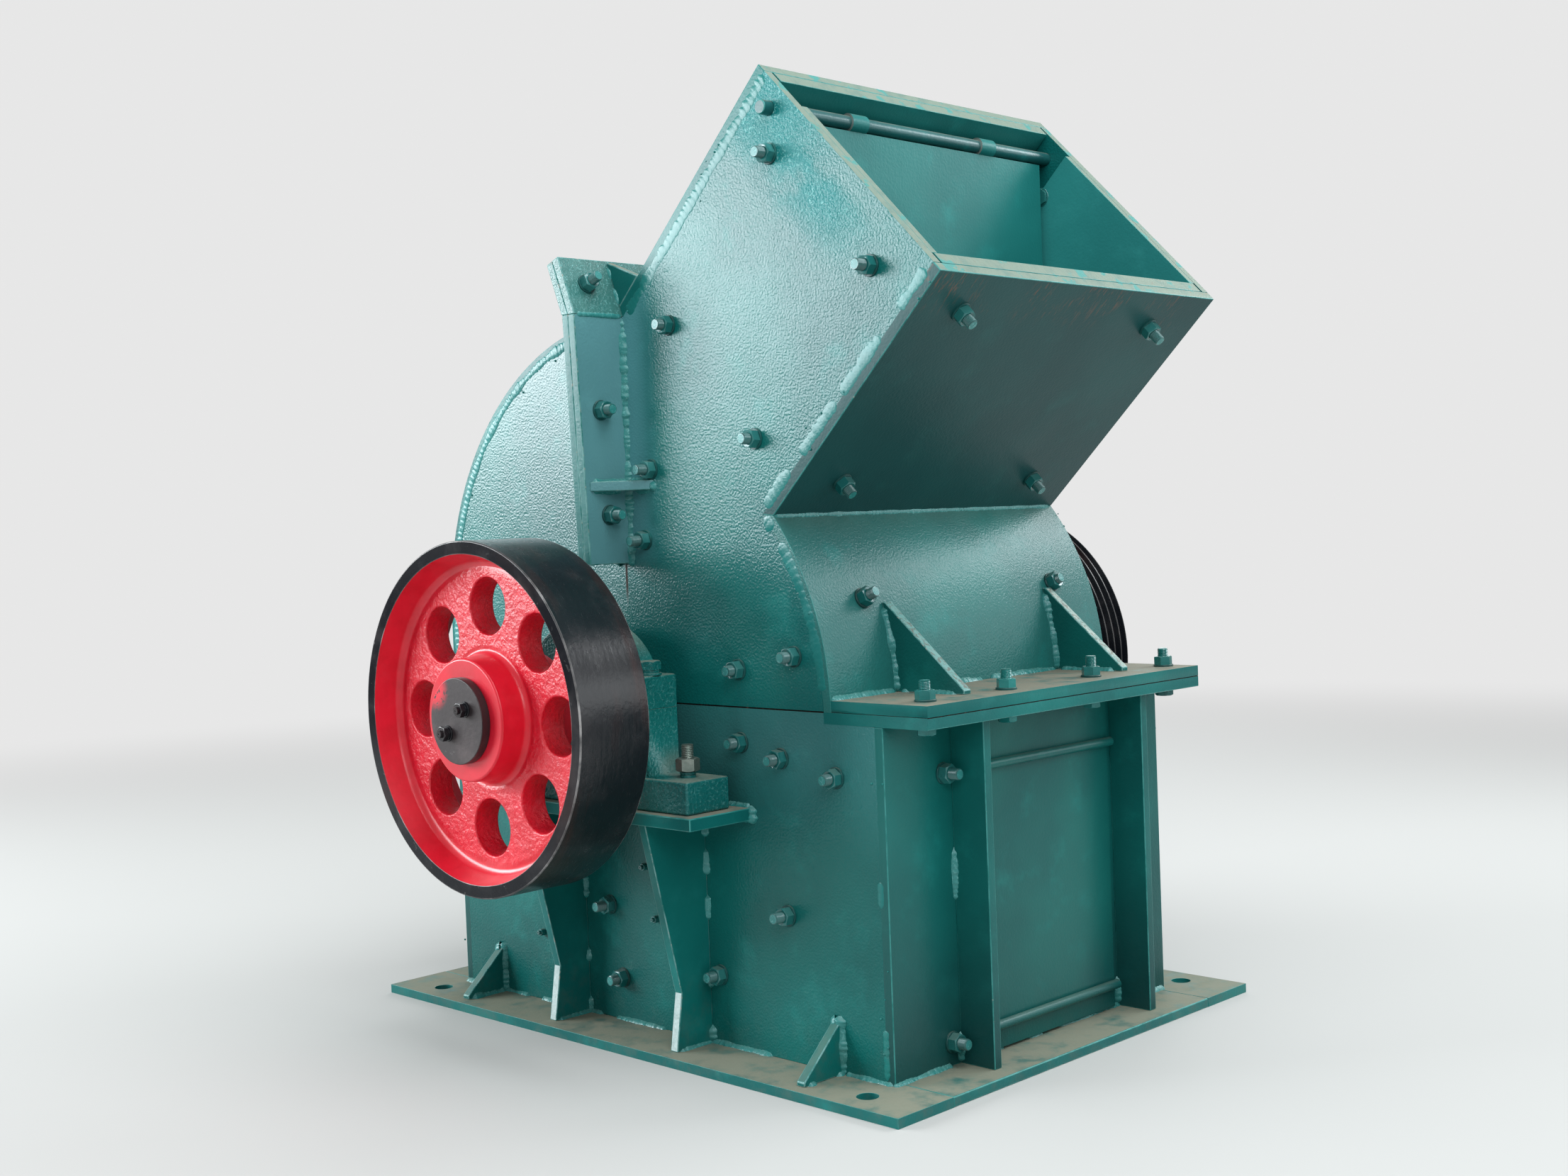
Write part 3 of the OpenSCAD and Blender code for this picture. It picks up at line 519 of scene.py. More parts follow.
# darker washers under the nuts: grime, with painted shade
tealWasher = enamel("teal_washer_grime_and_shade", {"tone": (0.008, 0.085, 0.082), "shade": (0.012, 0.050, 0.048),
    "dust": 0.3, "peelSize": 3, "waves": 0.0})
threadPaint = enamel("painted_thread", {"tone": (0.034, 0.165, 0.158), "shade": (0.034, 0.112, 0.108),
    "light": (0.12, 0.27, 0.26), "dust": 0.1, "waves": 0.0, "gloss": 0.18, "shine": 0.8})
edgePaint = edgePaintWithHighlight("worn_edge_and_highlight", edgeWearAndHighlight)
paleEdge = edgePaintWithHighlight("pale_edge_and_highlight", {**edgeWearAndHighlight, "pale": (0.15, 0.35, 0.34), "share": 0.35})
rimPaint = mouthRim("mouth_rim", rimWear)
farGussetCut = cutEdge("far_gusset_edge", (0.42, 0.50, 0.45), share=0.6, stain=0.7)
nearGussetCut = cutEdge("near_gusset_edge", (0.16, 0.34, 0.32), share=0.7, stain=0.75)
ribCut = cutEdge("rib_cut_edge", (0.58, 0.70, 0.70), share=0.9, stain=0.12)
redCast = redPaint("red_casting", redLook)
blackGloss = blackPaint("black_gloss", blackLook)
blackDull = blackPaint("black_end_plate", {**blackLook, "tone": (0.022, 0.015, 0.017),
    "worn": (0.085, 0.062, 0.064)}, gloss=0.34, worn=0.8, redLap=True)
blackRim = blackPaint("black_rim", blackLook, gloss=0.08, worn=0.40, shine=0.12, depth=0.25)
# the rim's narrow edges, rubbed grey, which also stands as a painted edge glint
blackEdge = blackPaint("black_rubbed_edge_and_glint", {**blackLook, "tone": (0.030, 0.030, 0.032),
    "worn": (0.36, 0.35, 0.35)}, gloss=0.3, worn=1.0)
pulleyEdge = blackPaint("black_pulley_edge", {**blackLook, "tone": (0.020, 0.018, 0.018),
    "worn": (0.085, 0.070, 0.068)}, gloss=0.34, worn=0.7)
jointDark = bareSteel("joint_dark_line", (0.012, 0.020, 0.019), (0.020, 0.016, 0.013), rough=0.7)
nutSteel = bareSteel("nut_steel", (0.25, 0.29, 0.26), (0.14, 0.19, 0.17), rough=0.38, rust=0.12)
shaftSteel = bareSteel("shaft_steel", (0.46, 0.45, 0.43), (0.30, 0.28, 0.25), rough=0.24,
                       lines=(0.3, 5, 0.3))
wornSteel = bareSteel("worn_steel", (0.17, 0.15, 0.135), (0.095, 0.075, 0.060), rough=0.42)
rubbedSteel = bareSteel("rubbed_steel", (0.62, 0.61, 0.58), (0.42, 0.41, 0.38), rough=0.30)
print("materials made")


class Kit:
    # gathers the faces of one piece
    def __init__(self):
        self.mesh = bmesh.new()

    def ring(self, points):
        return [self.mesh.verts.new(p) for p in points]

    def bridge(self, first, second, paint=0):
        count = len(first)
        for i in range(count):
            j = (i + 1) % count
            corners = []
            for v in (first[i], first[j], second[j], second[i]):
                if v not in corners:
                    corners.append(v)
            if len(corners) > 2:
                self.mesh.faces.new(corners).material_index = paint

    def cap(self, ring, paint=0):
        self.mesh.faces.new(ring).material_index = paint

    def done(self, name, body, paints, sharp=38):
        bmesh.ops.recalc_face_normals(self.mesh, faces=self.mesh.faces)
        return fit(name, self.mesh, body, paints, sharp)


def fit(name, mesh, body, paints, sharp=50, replaced=()):
    # turns a bmesh into a piece that rides on a body
    data = bpy.data.meshes.new(name)
    mesh.to_mesh(data)
    mesh.free()
    for paint in paints:
        data.materials.append(paint)
    data.polygons.foreach_set("use_smooth", [True] * len(data.polygons))
    data.set_sharp_from_angle(angle=math.radians(sharp))
    piece = bpy.data.objects.new(name, data)
    scene.collection.objects.link(piece)
    level = piece.modifiers.new("even shading", "WEIGHTED_NORMAL")
    level.keep_sharp = True
    level.weight = 100
    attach(piece, body)
    for node in replaced:
        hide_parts(node)
    return piece


def dress(node, paints, bevels, worn=None, body="housing", leave=None):
    # copies a CAD node, rounds its edges and paints it; worn() gives the number of a face's paint.
    # bevels are (mm, steps, rule for an edge's middle, which paint goes on them);
    # edges on a welded seam, and those that leave() picks, stay sharp
    mesh = bmesh.new()
    mesh.from_mesh(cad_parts[node].data)
    bmesh.ops.remove_doubles(mesh, verts=mesh.verts, dist=0.01 * mm)
    bmesh.ops.dissolve_limit(mesh, angle_limit=math.radians(0.4), verts=mesh.verts, edges=mesh.edges)
    for face in mesh.faces:
        face.material_index = worn(face) if worn else 0
    edges = [e for e in mesh.edges if e.is_manifold and e.calc_face_angle(0) > math.radians(28)]
    rules = [b[2] for b in bevels]
    groups = [[] for _ in bevels]
    for e in edges:
        middle = (e.verts[0].co + e.verts[1].co) / 2
        if onSeam(middle) or leave and leave(e, middle):
            continue
        for group, rule in zip(groups, rules):
            if rule is None or rule(middle):
                group.append(e)
                break
    for group, (width, steps, _, paint) in zip(groups, bevels):
        live = [e for e in group if e.is_valid]
        if live:
            bmesh.ops.bevel(mesh, geom=live, offset=width * mm, offset_type="OFFSET", segments=steps,
                            profile=0.5, affect="EDGES", clamp_overlap=True, material=paint)
    return fit(node + "_finish", mesh, body, paints, 50, (node,))


def easing(width, steps=2):
    # one rounding for all edges
    return [(width, steps, None, 1)]


plain, eased, crisp = easing(1.3), easing(1.6), easing(0.9)


def atMouth(face):
    return 2 if face.normal.dot(flat(mouthOut, 0)) > 0.98 else 0


def facesFront(face):
    return 2 if face.normal.x > 0.9 else 0


def jointEdge(middle):
    return abs(middle.z - jointZ) < 0.2 * mm


for node in ("base_side_strips", "base_cross_strips"):
    dress(node, [tealBase, edgePaint], easing(1.8))
# a dark line is painted along the joints between the lower and upper plates and flanges
darkJoint = (1.1, 1, jointEdge, 3)
for side in ("near", "far"):
    for part, paint in (("lower_side_", tealLowSide), ("cover_side_", tealCover), ("upper_side_", tealSide)):
        dress(part + side, [paint, paint, rimPaint, jointDark], [darkJoint, *crisp],
              atMouth if paint == tealSide else None)
for node in ("lower_front_wall", "lower_rear_wall"):
    dress(node, [tealWall, edgePaint], plain)
dress("cover_skin", [tealPlate, edgePaint], plain)
dress("round_front_plate", [tealRound, edgePaint], plain)
dress("hopper_lower_plate", [tealUnderShade, edgePaint, rimPaint], plain, atMouth)
dress("hopper_upper_plate", [tealPlate, edgePaint, rimPaint], plain, atMouth)
dress("hopper_cross_liners", [tealInside, edgePaint, rimPaint], easing(0.8), atMouth)
dress("hopper_side_liners", [tealLiner, edgePaint, rimPaint], easing(0.8), atMouth)
dress("front_wall_panel", [tealPanel, tealPanel], crisp)
dress("front_wall_ribs", [tealWall, edgePaint], plain)
for node in ("lower_front_flange", "upper_front_flange", "lower_rear_flange", "upper_rear_flange"):
    dress(node, [tealFlange, edgePaint, rimPaint, jointDark], [(0.7, 1, jointEdge, 3), *plain])
# the upright flanges' front faces take the painted sheen
for node in ("body_upright_flanges", "cover_upright_flanges"):
    dress(node, [tealFlange, paleEdge, tealUprightSheen], eased, facesFront)
dress("flange_stiffeners", [tealUprightSheen, paleEdge], eased)
dress("top_gussets", [tealFlange, paleEdge], eased)
for node in ("body_top_flange", "cover_top_flange"):
    dress(node, [tealLeanSheen, paleEdge], eased)
dress("corner_gussets", [tealPlate, paleEdge], eased)
dress("bearing_shelves", [tealFlange, edgePaint], eased)


# the sloping edges are flame cut, the far one rubbed pale
def gussetSlope(face):
    if face.normal.x > 0.3 and face.normal.z > 0.3:
        return 2 if face.calc_center_median().y > 0 else 3
    return 0


dress("flange_gussets", [tealGusset, paleEdge, farGussetCut, nearGussetCut], easing(1.4), gussetSlope)

# the flared feet of the stand ribs show a pale cut edge
ribFoot = {"top": 97, "beyond": 20}


def ribFlare(face):
    middle = face.calc_center_median()
    low = middle.z < ribFoot["top"] * mm and abs(middle.y) > sideY + ribFoot["beyond"] * mm
    return 2 if low and abs(face.normal.y) > 0.7 else 0


dress("stand_ribs", [tealPlate, paleEdge, ribCut], easing(1.4), ribFlare)


casting = {"round": 4.0, "joint": 0.7, "bore": 62}


def innerEdge(edge, middle):
    # hollow corners, and the rim of the bore
    return not edge.is_convex or (Vector((middle.x, middle.z)) - shaft).length < casting["bore"] * mm


for side in ("near", "far"):
    for half in ("pillow_block_", "pillow_cap_"):
        dress(half + side, [tealCast, tealCast],
              [(casting["joint"], 1, jointEdge, 1), (casting["round"], 3, None, 1)], leave=innerEdge)
dress("flap_rod", [tealRod, edgePaint], easing(1.5))
for node in ("grate_bars", "grate_rails"):
    dress(node, [wornSteel, rubbedSteel], easing(1.5))
for node in ("rotor_discs", "disc_collars", "hammer_pins"):
    dress(node, [wornSteel, rubbedSteel], plain, body="rotor")
dress("hammers", [wornSteel, rubbedSteel], easing(4.0, 3), body="rotor")
dress("rotor_shaft", [shaftSteel, shaftSteel], plain, body="rotor")
dress("belt_pulley", [blackGloss, pulleyEdge], easing(0.8), body="rotor")
dress("shaft_end_plates", [blackDull, blackDull], plain, body="rotor")


# the flap's barrels are rubbed bright on their ends
barrel = {"rod": 10, "round": 14, "within": 200}


def barrelEnd(face):
    middle = face.calc_center_median()
    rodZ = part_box("flap_rod")[1].z - barrel["rod"] * mm
    onRod = abs(middle.z - rodZ) < barrel["round"] * mm and abs(middle.y) < barrel["within"] * mm
    return 2 if onRod and abs(face.normal.y) > 0.9 else 0


dress("feed_flap", [tealInside, edgePaint, rubbedSteel], crisp, barrelEnd, body="flap")
print("plates, castings and rotor dressed")


def rounded(corners, steps=5):
    # corners are (radius, y, fillet); each fillet becomes a short arc
    path = []
    count = len(corners)
    for i, (a, b, fillet) in enumerate(corners):
        here = Vector((a, b))
        if not fillet:
            path.append(here)
            continue
        before = (Vector(corners[i - 1][:2]) - here).normalized()
        after = (Vector(corners[(i + 1) % count][:2]) - here).normalized()
        half = before.angle(after) / 2
        reach = fillet / math.tan(half)
        centre = here + (before + after).normalized() * (fillet / math.sin(half))
        start, end = here + before * reach, here + after * reach
        for k in range(steps + 1):
            point = start.lerp(end, k / steps) - centre
            path.append(centre + point.normalized() * fillet)
    return path


def turn(kit, path, around, spin):
    # path is (radius, y) in mm about a centre in the side plane
    angles = [math.tau * k / spin for k in range(spin)]
    rings = [kit.ring([Vector((around.x + p.x * mm * math.cos(t), p.y * mm,
                               around.y + p.x * mm * math.sin(t))) for t in angles]) for p in path]
    for i, first in enumerate(rings):
        kit.bridge(first, rings[(i + 1) % len(rings)])


wheel = {"rim": 252, "thick": 19, "web": 42, "boss": 87, "bossOut": 4, "bore": 45.1,
         "hole": 41, "circle": 158, "holes": 8, "turn": -2, "lip": 3, "bossFillet": 10, "rimFillet": 12}
wheelLow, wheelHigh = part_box("flywheel")
wheelFace = wheelLow.y / mm + wheel["bossOut"]
wheelBack = wheelHigh.y / mm - wheel["bossOut"]
webFront = (wheelFace + wheelBack - wheel["web"]) / 2
webBack = webFront + wheel["web"]
rimIn = wheel["rim"] - wheel["thick"]
# half of the casting's outline from bore to rim: radius, which of the three faces it lies on, fillet
outline = [(wheel["bore"], 0, 0), (wheel["boss"], 0, 3.5), (wheel["boss"] + 3, 1, wheel["bossFillet"]),
           (rimIn - 10, 1, wheel["rimFillet"]), (rimIn, 2, 1.2), (wheel["rim"], 2, 2.0)]
frontFaces = (wheelLow.y / mm, webFront, wheelFace)
backFaces = (wheelHigh.y / mm, webBack, wheelBack)
kit = Kit()
turn(kit, rounded([(r, frontFaces[k], fillet) for r, k, fillet in outline]
                  + [(r, backFaces[k], fillet) for r, k, fillet in reversed(outline)]), shaft, 192)
bmesh.ops.recalc_face_normals(kit.mesh, faces=kit.mesh.faces)
body = bpy.data.meshes.new("wheel_blank")
kit.mesh.to_mesh(body)
blank = bpy.data.objects.new("wheel_blank", body)
scene.collection.objects.link(blank)
drill = Kit()
holeCentres = []
for k in range(wheel["holes"]):
    centre = shaft + wheel["circle"] * mm * heading(k * 360 / wheel["holes"] + wheel["turn"])
    holeCentres.append(centre)
    ends = []
    for y in (webFront - 9, webBack + 9):
        rim = [centre + wheel["hole"] * mm * heading(t * 7.5) for t in range(48)]
        ends.append(drill.ring([flat(p, y * mm) for p in rim]))
        drill.cap(ends[-1])
    drill.bridge(*ends)
bmesh.ops.recalc_face_normals(drill.mesh, faces=drill.mesh.faces)
shape = bpy.data.meshes.new("drill")
drill.mesh.to_mesh(shape)
cutter = bpy.data.objects.new("drill", shape)
scene.collection.objects.link(cutter)
holes = blank.modifiers.new("holes", "BOOLEAN")
holes.object, holes.operation, holes.solver = cutter, "DIFFERENCE", "EXACT"
bpy.context.view_layer.update()
carved = bpy.data.meshes.new_from_object(blank.evaluated_get(bpy.context.evaluated_depsgraph_get()))
for spare in (blank, cutter):
    bpy.data.objects.remove(spare)
mesh = bmesh.new()
mesh.from_mesh(carved)
bmesh.ops.remove_doubles(mesh, verts=mesh.verts, dist=0.01 * mm)


def onWeb(vert):
    return min(abs(vert.co.y / mm - webFront), abs(vert.co.y / mm - webBack)) < 0.01


def onHole(vert):
    spot = Vector((vert.co.x, vert.co.z))
    return any(abs((spot - c).length - wheel["hole"] * mm) < 0.3 * mm for c in holeCentres)


across = [e for e in mesh.edges if onWeb(e.verts[0]) and onWeb(e.verts[1]) and not (
    onHole(e.verts[0]) and onHole(e.verts[1])) and e.is_manifold and e.calc_face_angle(0) < math.radians(1)]
bmesh.ops.dissolve_edges(mesh, edges=across, use_verts=True, use_face_split=False)
lips = [e for e in mesh.edges if e.is_manifold and e.calc_face_angle(0) > math.radians(60)
        and onHole(e.verts[0]) and onHole(e.verts[1])]
bmesh.ops.bevel(mesh, geom=lips, offset=wheel["lip"] * mm, offset_type="OFFSET", segments=4, profile=0.5,
                affect="EDGES", clamp_overlap=True, material=-1)
for face in mesh.faces:
    middle = face.calc_center_median()
    reach = [(Vector((v.co.x, v.co.z)) - shaft).length / mm for v in face.verts]
    depth = min(abs(middle.y / mm - wheelFace), abs(middle.y / mm - wheelBack))
    face.material_index = 0
    if min(reach) > rimIn - 0.1:
        narrow = max(reach) - min(reach) < 2.5
        face.material_index = 1 if depth > 2.2 else 2 if narrow else 3
fit("flywheel_casting", mesh, "rotor", [redCast, blackGloss, blackEdge, blackRim], 40,
    ("flywheel",))
print("flywheel made")


# hexagon fasteners, sizes in mm
m16 = {"flats": 24, "nut": 13, "stud": 8, "washer": 15, "plate": 3, "pitch": 2.0, "out": 16, "head": 10}
m20 = {"flats": 30, "nut": 19, "stud": 9, "ring": 11.5, "coil": 4.2, "pitch": 2.5, "out": 19}
sunk = -0.3  # washers and pins start a little inside the plate
dice = random.Random(16)


def stand(place, out, lean=1.6):
    # a frame whose z runs out of the plate, a little askew
    tilt = Matrix.Rotation(math.radians(dice.uniform(-lean, lean)), 4, "X")
    spin = Matrix.Rotation(math.radians(dice.uniform(0, 60)), 4, "Z")
    upright = out.normalized().to_track_quat("Z", "Y").to_matrix().to_4x4()
    return Matrix.Translation(place) @ upright @ tilt @ spin


def circle(place, radius, height, count=48):
    return [place @ Vector((radius * mm * math.cos(math.tau * k / count),
                            radius * mm * math.sin(math.tau * k / count), height * mm)) for k in range(count)]


def addWasher(kit, place, radius, hole, low, high, paint=0):
    edge = min(0.6, (high - low) / 3)
    rings = [kit.ring(circle(place, r, h, 32)) for r, h in
             ((hole, low), (radius, low), (radius, high - edge), (radius - edge, high), (hole, high))]
    for k, first in enumerate(rings):
        kit.bridge(first, rings[(k + 1) % len(rings)], paint)


def addHex(kit, place, flats, low, high, hole, paint=0, both=False):
    # a hexagon with its turned chamfer, on both ends if asked; hole 0 makes a bolt head
    turned = flats * 0.47
    feet, tops = [], []
    for k in range(48):
        t = math.tau * k / 48
        r = flats / 2 / math.cos((t + math.pi / 6) % (math.pi / 3) - math.pi / 6)
        drop = max(0.0, r - turned) * math.tan(math.radians(30))
        spot = Vector((r * mm * math.cos(t), r * mm * math.sin(t), 0))
        feet.append(place @ (spot + Vector((0, 0, (low + (drop if both else 0)) * mm))))
        tops.append(place @ (spot + Vector((0, 0, (high - drop) * mm))))
    foot, shoulder = kit.ring(feet), kit.ring(tops)
    face = kit.ring(circle(place, turned, high))
    under = kit.ring(circle(place, turned, low))
    kit.bridge(under, foot, paint)
    kit.bridge(foot, shoulder, paint)
    kit.bridge(shoulder, face, paint)
    if hole:
        inner, back = kit.ring(circle(place, hole, high - 0.6)), kit.ring(circle(place, hole, low))
        kit.bridge(face, inner, paint)
        kit.bridge(inner, back, paint)
        kit.bridge(back, under, paint)
    else:
        kit.cap(face, paint)
        kit.cap(under, paint)


threadForm = {"points": 20, "depth": 0.11, "chamfer": 1.2, "slope": 0.7, "rimIn": 0.75, "endIn": 1.6}


def addThread(kit, place, radius, low, high, pitch, paint, tip=2):
    # a real helix: root and crest lines wind up together, and each crest meets the root a turn higher
    count, depth = threadForm["points"], threadForm["depth"] * radius
    last = (int((high - low) / pitch) + 2) * count
    lines = []
    for strand in (0, 1):
        line = []
        for n in range(last + 1):
            t = math.tau * n / count
            h = min(max(low + (n / count + strand / 2 - 1) * pitch, low), high)
            cut = max(0.0, h - high + threadForm["chamfer"]) * threadForm["slope"]
            r = radius - depth * (1 - strand) - cut
            line.append(place @ Vector((r * mm * math.cos(t), r * mm * math.sin(t), h * mm)))
        lines.append(kit.ring(line))
    root, crest = lines
    for n in range(last):
        kit.mesh.faces.new((root[n], root[n + 1], crest[n + 1], crest[n])).material_index = paint
        if n + count < last:
            quad = (crest[n], crest[n + 1], root[n + count + 1], root[n + count])
            kit.mesh.faces.new(quad).material_index = paint
    end = kit.ring(circle(place, radius - threadForm["endIn"], high + 0.15, count))
    rim = kit.ring(circle(place, radius - threadForm["rimIn"], high - 0.2, count))
    kit.bridge(rim, end, paint)
    kit.cap(end, tip)


def addNut(kit, spot, out, size):
    # a washer, a nut and the end of its bolt, in paints 3, 0 and 1; the bolt's tip is in 2, a paler paint
    # that is a painted highlight, and the darker washer is grime with painted shade
    place = stand(spot, out)
    grow = dice.uniform(-5.0, 1.0)
    addWasher(kit, place, size["washer"], size["stud"], sunk, size["plate"], 3)
    top = size["plate"] + size["nut"]
    addHex(kit, place, size["flats"], size["plate"], top, size["stud"] + 0.2)
    addThread(kit, place, size["stud"], top - 2, top + size["out"] + grow, size["pitch"], 1)


def addHead(kit, spot, out, size):
    place = stand(spot, out, 0.5)
    addWasher(kit, place, size["washer"], size["stud"] * 0.8, sunk, size["plate"])
    addHex(kit, place, size["flats"], size["plate"], size["plate"] + size["head"], 0)


def addBolt(kit, place, bolt):
    # two washers under a head
    for radius, low, high in bolt["washers"]:
        addWasher(kit, place, radius, bolt["hole"], low, high)
    addHex(kit, place, bolt["flats"], *bolt["head"], 0)


# liner bolts through the side plates, read off the flywheel side, as x and z in mm
sideBolts = [(313, 1272), (490, 1098), (93, 1061), (263, 886), (42, 854), (23, 750), (212, 562), (323, 583),
             (211, 458), (290, 440), (394, 420), (-94, 190), (-70, 80), (150, 116), (293, 220)]
sidePins = [(-265, 125), (14, 181), (-7, 258)]
pin = {"collar": (5.5, 2, sunk, 9), "tip": (3.5, 1.0, 8.5, 13)}  # radius, hole, low end and high end
boltPaints = [tealBolt, threadPaint, tealWeldGlint, tealWasher]
for side, word in ((-1, "near"), (1, "far")):
    kit = Kit()
    for x, z in sideBolts:
        addNut(kit, Vector((x * mm, side * sideY, z * mm)), Vector((0, side, 0)), m16)
    for x, z in sidePins:
        place = stand(Vector((x * mm, side * sideY, z * mm)), Vector((0, side, 0)), 4)
        addWasher(kit, place, *pin["collar"], 0)
        addWasher(kit, place, *pin["tip"], 1)
    kit.done("side_bolts_" + word, "housing", boltPaints)

# bolts along the joint flanges: nuts above, heads below
flangeBolts = {"in": 43, "y": (-273, -100, 101, 291), "out": 15}
kit = Kit()
for end in (1, -1):
    x = end * (flangeHigh.x - flangeBolts["in"] * mm)
    for y in flangeBolts["y"]:
        addNut(kit, Vector((x, y * mm, flangeZ)), Vector((0, 0, 1)), {**m16, "out": flangeBolts["out"]})
        addHead(kit, Vector((x, y * mm, flangeLow.z)), Vector((0, 0, -1)), m16)
kit.done("flange_bolts", "housing", [litBolt, litBolt, tealWeldGlint, tealWasher])

# bolts of the cover joint, heads on the cover's side; three of them stand over the top of the hopper
coverBolts = {"y": (369, 360), "z": (944, 789), "up": 50, "headUp": 40, "leanY": 372,
              "topY": (-170, 0, 170), "topUp": 38, "topHeadUp": 62}
kit = Kit()
for side in (-1, 1):
    for y, z in zip(coverBolts["y"], coverBolts["z"]):
        addNut(kit, Vector((uprightFront, side * y * mm, z * mm)), Vector((1, 0, 0)), m16)
        addHead(kit, Vector((uprightRear, side * y * mm, z * mm)), Vector((-1, 0, 0)), m16)
    y = side * coverBolts["leanY"] * mm
    addNut(kit, flat(leanFoot + coverBolts["up"] * mm * leanUp, y), flat(leanOut, 0), m16)
    addHead(kit, flat(leanBack + coverBolts["headUp"] * mm * leanUp, y), flat(-leanOut, 0), m16)
for y in coverBolts["topY"]:
    addNut(kit, flat(upperEnd + coverBolts["topUp"] * mm * leanUp, y * mm), flat(leanOut, 0), m16)
    addHead(kit, flat(leanBack + coverBolts["topHeadUp"] * mm * leanUp, y * mm), flat(-leanOut, 0), m16)
kit.done("cover_bolts", "housing", boltPaints)

# liner bolts through the hopper's plates, the round plate and the end walls
linerBolts = {"down": (62, 371), "up": (73, 270), "y": (-228, 207), "round": 20.5, "roundY": 219,
              "roundOut": 11, "wallZ": (418, 47), "wallIn": 18, "rearY": 215}
kit = Kit()
for y in linerBolts["y"]:
    for d in linerBolts["down"]:
        addNut(kit, flat(lip - d * mm * duct, y * mm), flat(-ductUp, 0), m16)
    for d in linerBolts["up"]:
        addNut(kit, flat(apex - d * mm * duct, y * mm), flat(ductUp, 0), m16)
for side in (-1, 1):
    out = heading(linerBolts["round"])
    addNut(kit, flat(shaft + curves["round"] * mm * out, side * linerBolts["roundY"] * mm), flat(out, 0),
           {**m16, "out": linerBolts["roundOut"]})
    rib = ribLow.y if side < 0 else ribHigh.y
    for z in linerBolts["wallZ"]:
        addNut(kit, Vector((frontX, rib + side * linerBolts["wallIn"] * mm, z * mm)), Vector((1, 0, 0)), m16)
        addNut(kit, Vector((-frontX, side * linerBolts["rearY"] * mm, z * mm)), Vector((-1, 0, 0)), m16)
kit.done("liner_bolts", "housing", boltPaints)

# the heads of the uppermost side bolts show inside the mouth, above the side liners
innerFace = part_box("hopper_side_liners")[1].y - hopper["liner"] * mm
lowHead = {**m16, "head": 4, "plate": 0.8}
x, z = sideBolts[0]
kit = Kit()
for side in (-1, 1):
    addHead(kit, Vector((x * mm, side * innerFace, z * mm)), Vector((0, -side, 0)), lowHead)
kit.done("mouth_bolt_heads", "housing", [tealBolt])

# pillow blocks: bare nuts on the feet, painted bolts in the caps, and a raised ring round the shaft
pillow = {"foot": 47, "footBolt": 204, "capBolt": 130, "shoulder": 48, "ring": 72, "ringIn": 50, "proud": 4,
          "deep": 6}
capBolt = {"washers": ((18, sunk, 3), (15, 3, 7.5)), "hole": 9, "flats": 30, "head": (7.5, 20.5)}
for side, word in ((-1, "near"), (1, "far")):
    y = side * abs(footLow.y + footHigh.y) / 2
    kit = Kit()
    for s in (-1, 1):
        spot = Vector((shaft.x + s * pillow["footBolt"] * mm, y, shelfHigh.z + pillow["foot"] * mm))
        place = stand(spot, Vector((0, 0, 1)), 0.8)
        foot = 2 * m20["coil"] + 0.4
        top = foot + m20["nut"]
        for low in (sunk, m20["coil"] + 0.4):  # the two coils of a spring washer
            addWasher(kit, place, m20["ring"], m20["stud"], low, low + m20["coil"])
        addHex(kit, place, m20["flats"], foot, top, m20["stud"] + 0.2, 1, both=True)
        addThread(kit, place, m20["stud"], top - 2, top + m20["out"], m20["pitch"], 1, 1)
    kit.done("foot_studs_" + word, "housing", [tealCast, nutSteel])
    kit = Kit()
    for s in (-1, 1):
        spot = Vector((shaft.x + s * pillow["capBolt"] * mm, y, shaft.y + pillow["shoulder"] * mm))
        addBolt(kit, stand(spot, Vector((0, 0, 1)), 0.5), capBolt)
    for s in (-1, 1):
        face = side * y / mm + s * (capHigh.y - capLow.y) / mm / 2
        back, front = face - s * pillow["deep"], face + s * pillow["proud"]
        path = rounded([(pillow["ringIn"], back, 0), (pillow["ring"], back, 0),
                        (pillow["ring"] - 1, front, 2), (pillow["ringIn"], front, 1.5)])
        turn(kit, [Vector((p.x, side * p.y)) for p in path], shaft, 72)
    kit.done("cap_bolts_" + word, "housing", [tealCast])

# two bolts hold each end plate; their line leans
plateBolts = {"reach": 27.5, "lean": 40, "washers": ((11.5, sunk, 2.2), (9.8, 2.2, 5)), "hole": 5,
              "flats": 19, "head": (5, 12.5), "end": (5.5, 1, 12, 16)}
kit = Kit()
for face, side in ((nearFace, -1), (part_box("shaft_end_plates")[1].y, 1)):
    for s in (-1, 1):
        spot = shaft + s * plateBolts["reach"] * mm * heading(plateBolts["lean"])
        place = stand(flat(spot, face), Vector((0, side, 0)), 2)
        addBolt(kit, place, plateBolts)
        addWasher(kit, place, *plateBolts["end"])
kit.done("end_plate_bolts", "rotor", [blackGloss])
print("fasteners made")


def paced(path, step):
    # points at an even step along a broken line
    spots = [path[0].copy()]
    left = step
    for a, b in zip(path, path[1:]):
        length = (b - a).length
        gone = left
        while gone < length:
            spots.append(a.lerp(b, gone / length))
            gone += step
        left = gone - length
    return spots


# mm between a bead's rows, points across it, and how fast its breaks, lumps and grain change
beadRows = {"step": 1.7, "points": 8, "breaks": 0.032, "lumps": 0.06, "grain": 0.33}


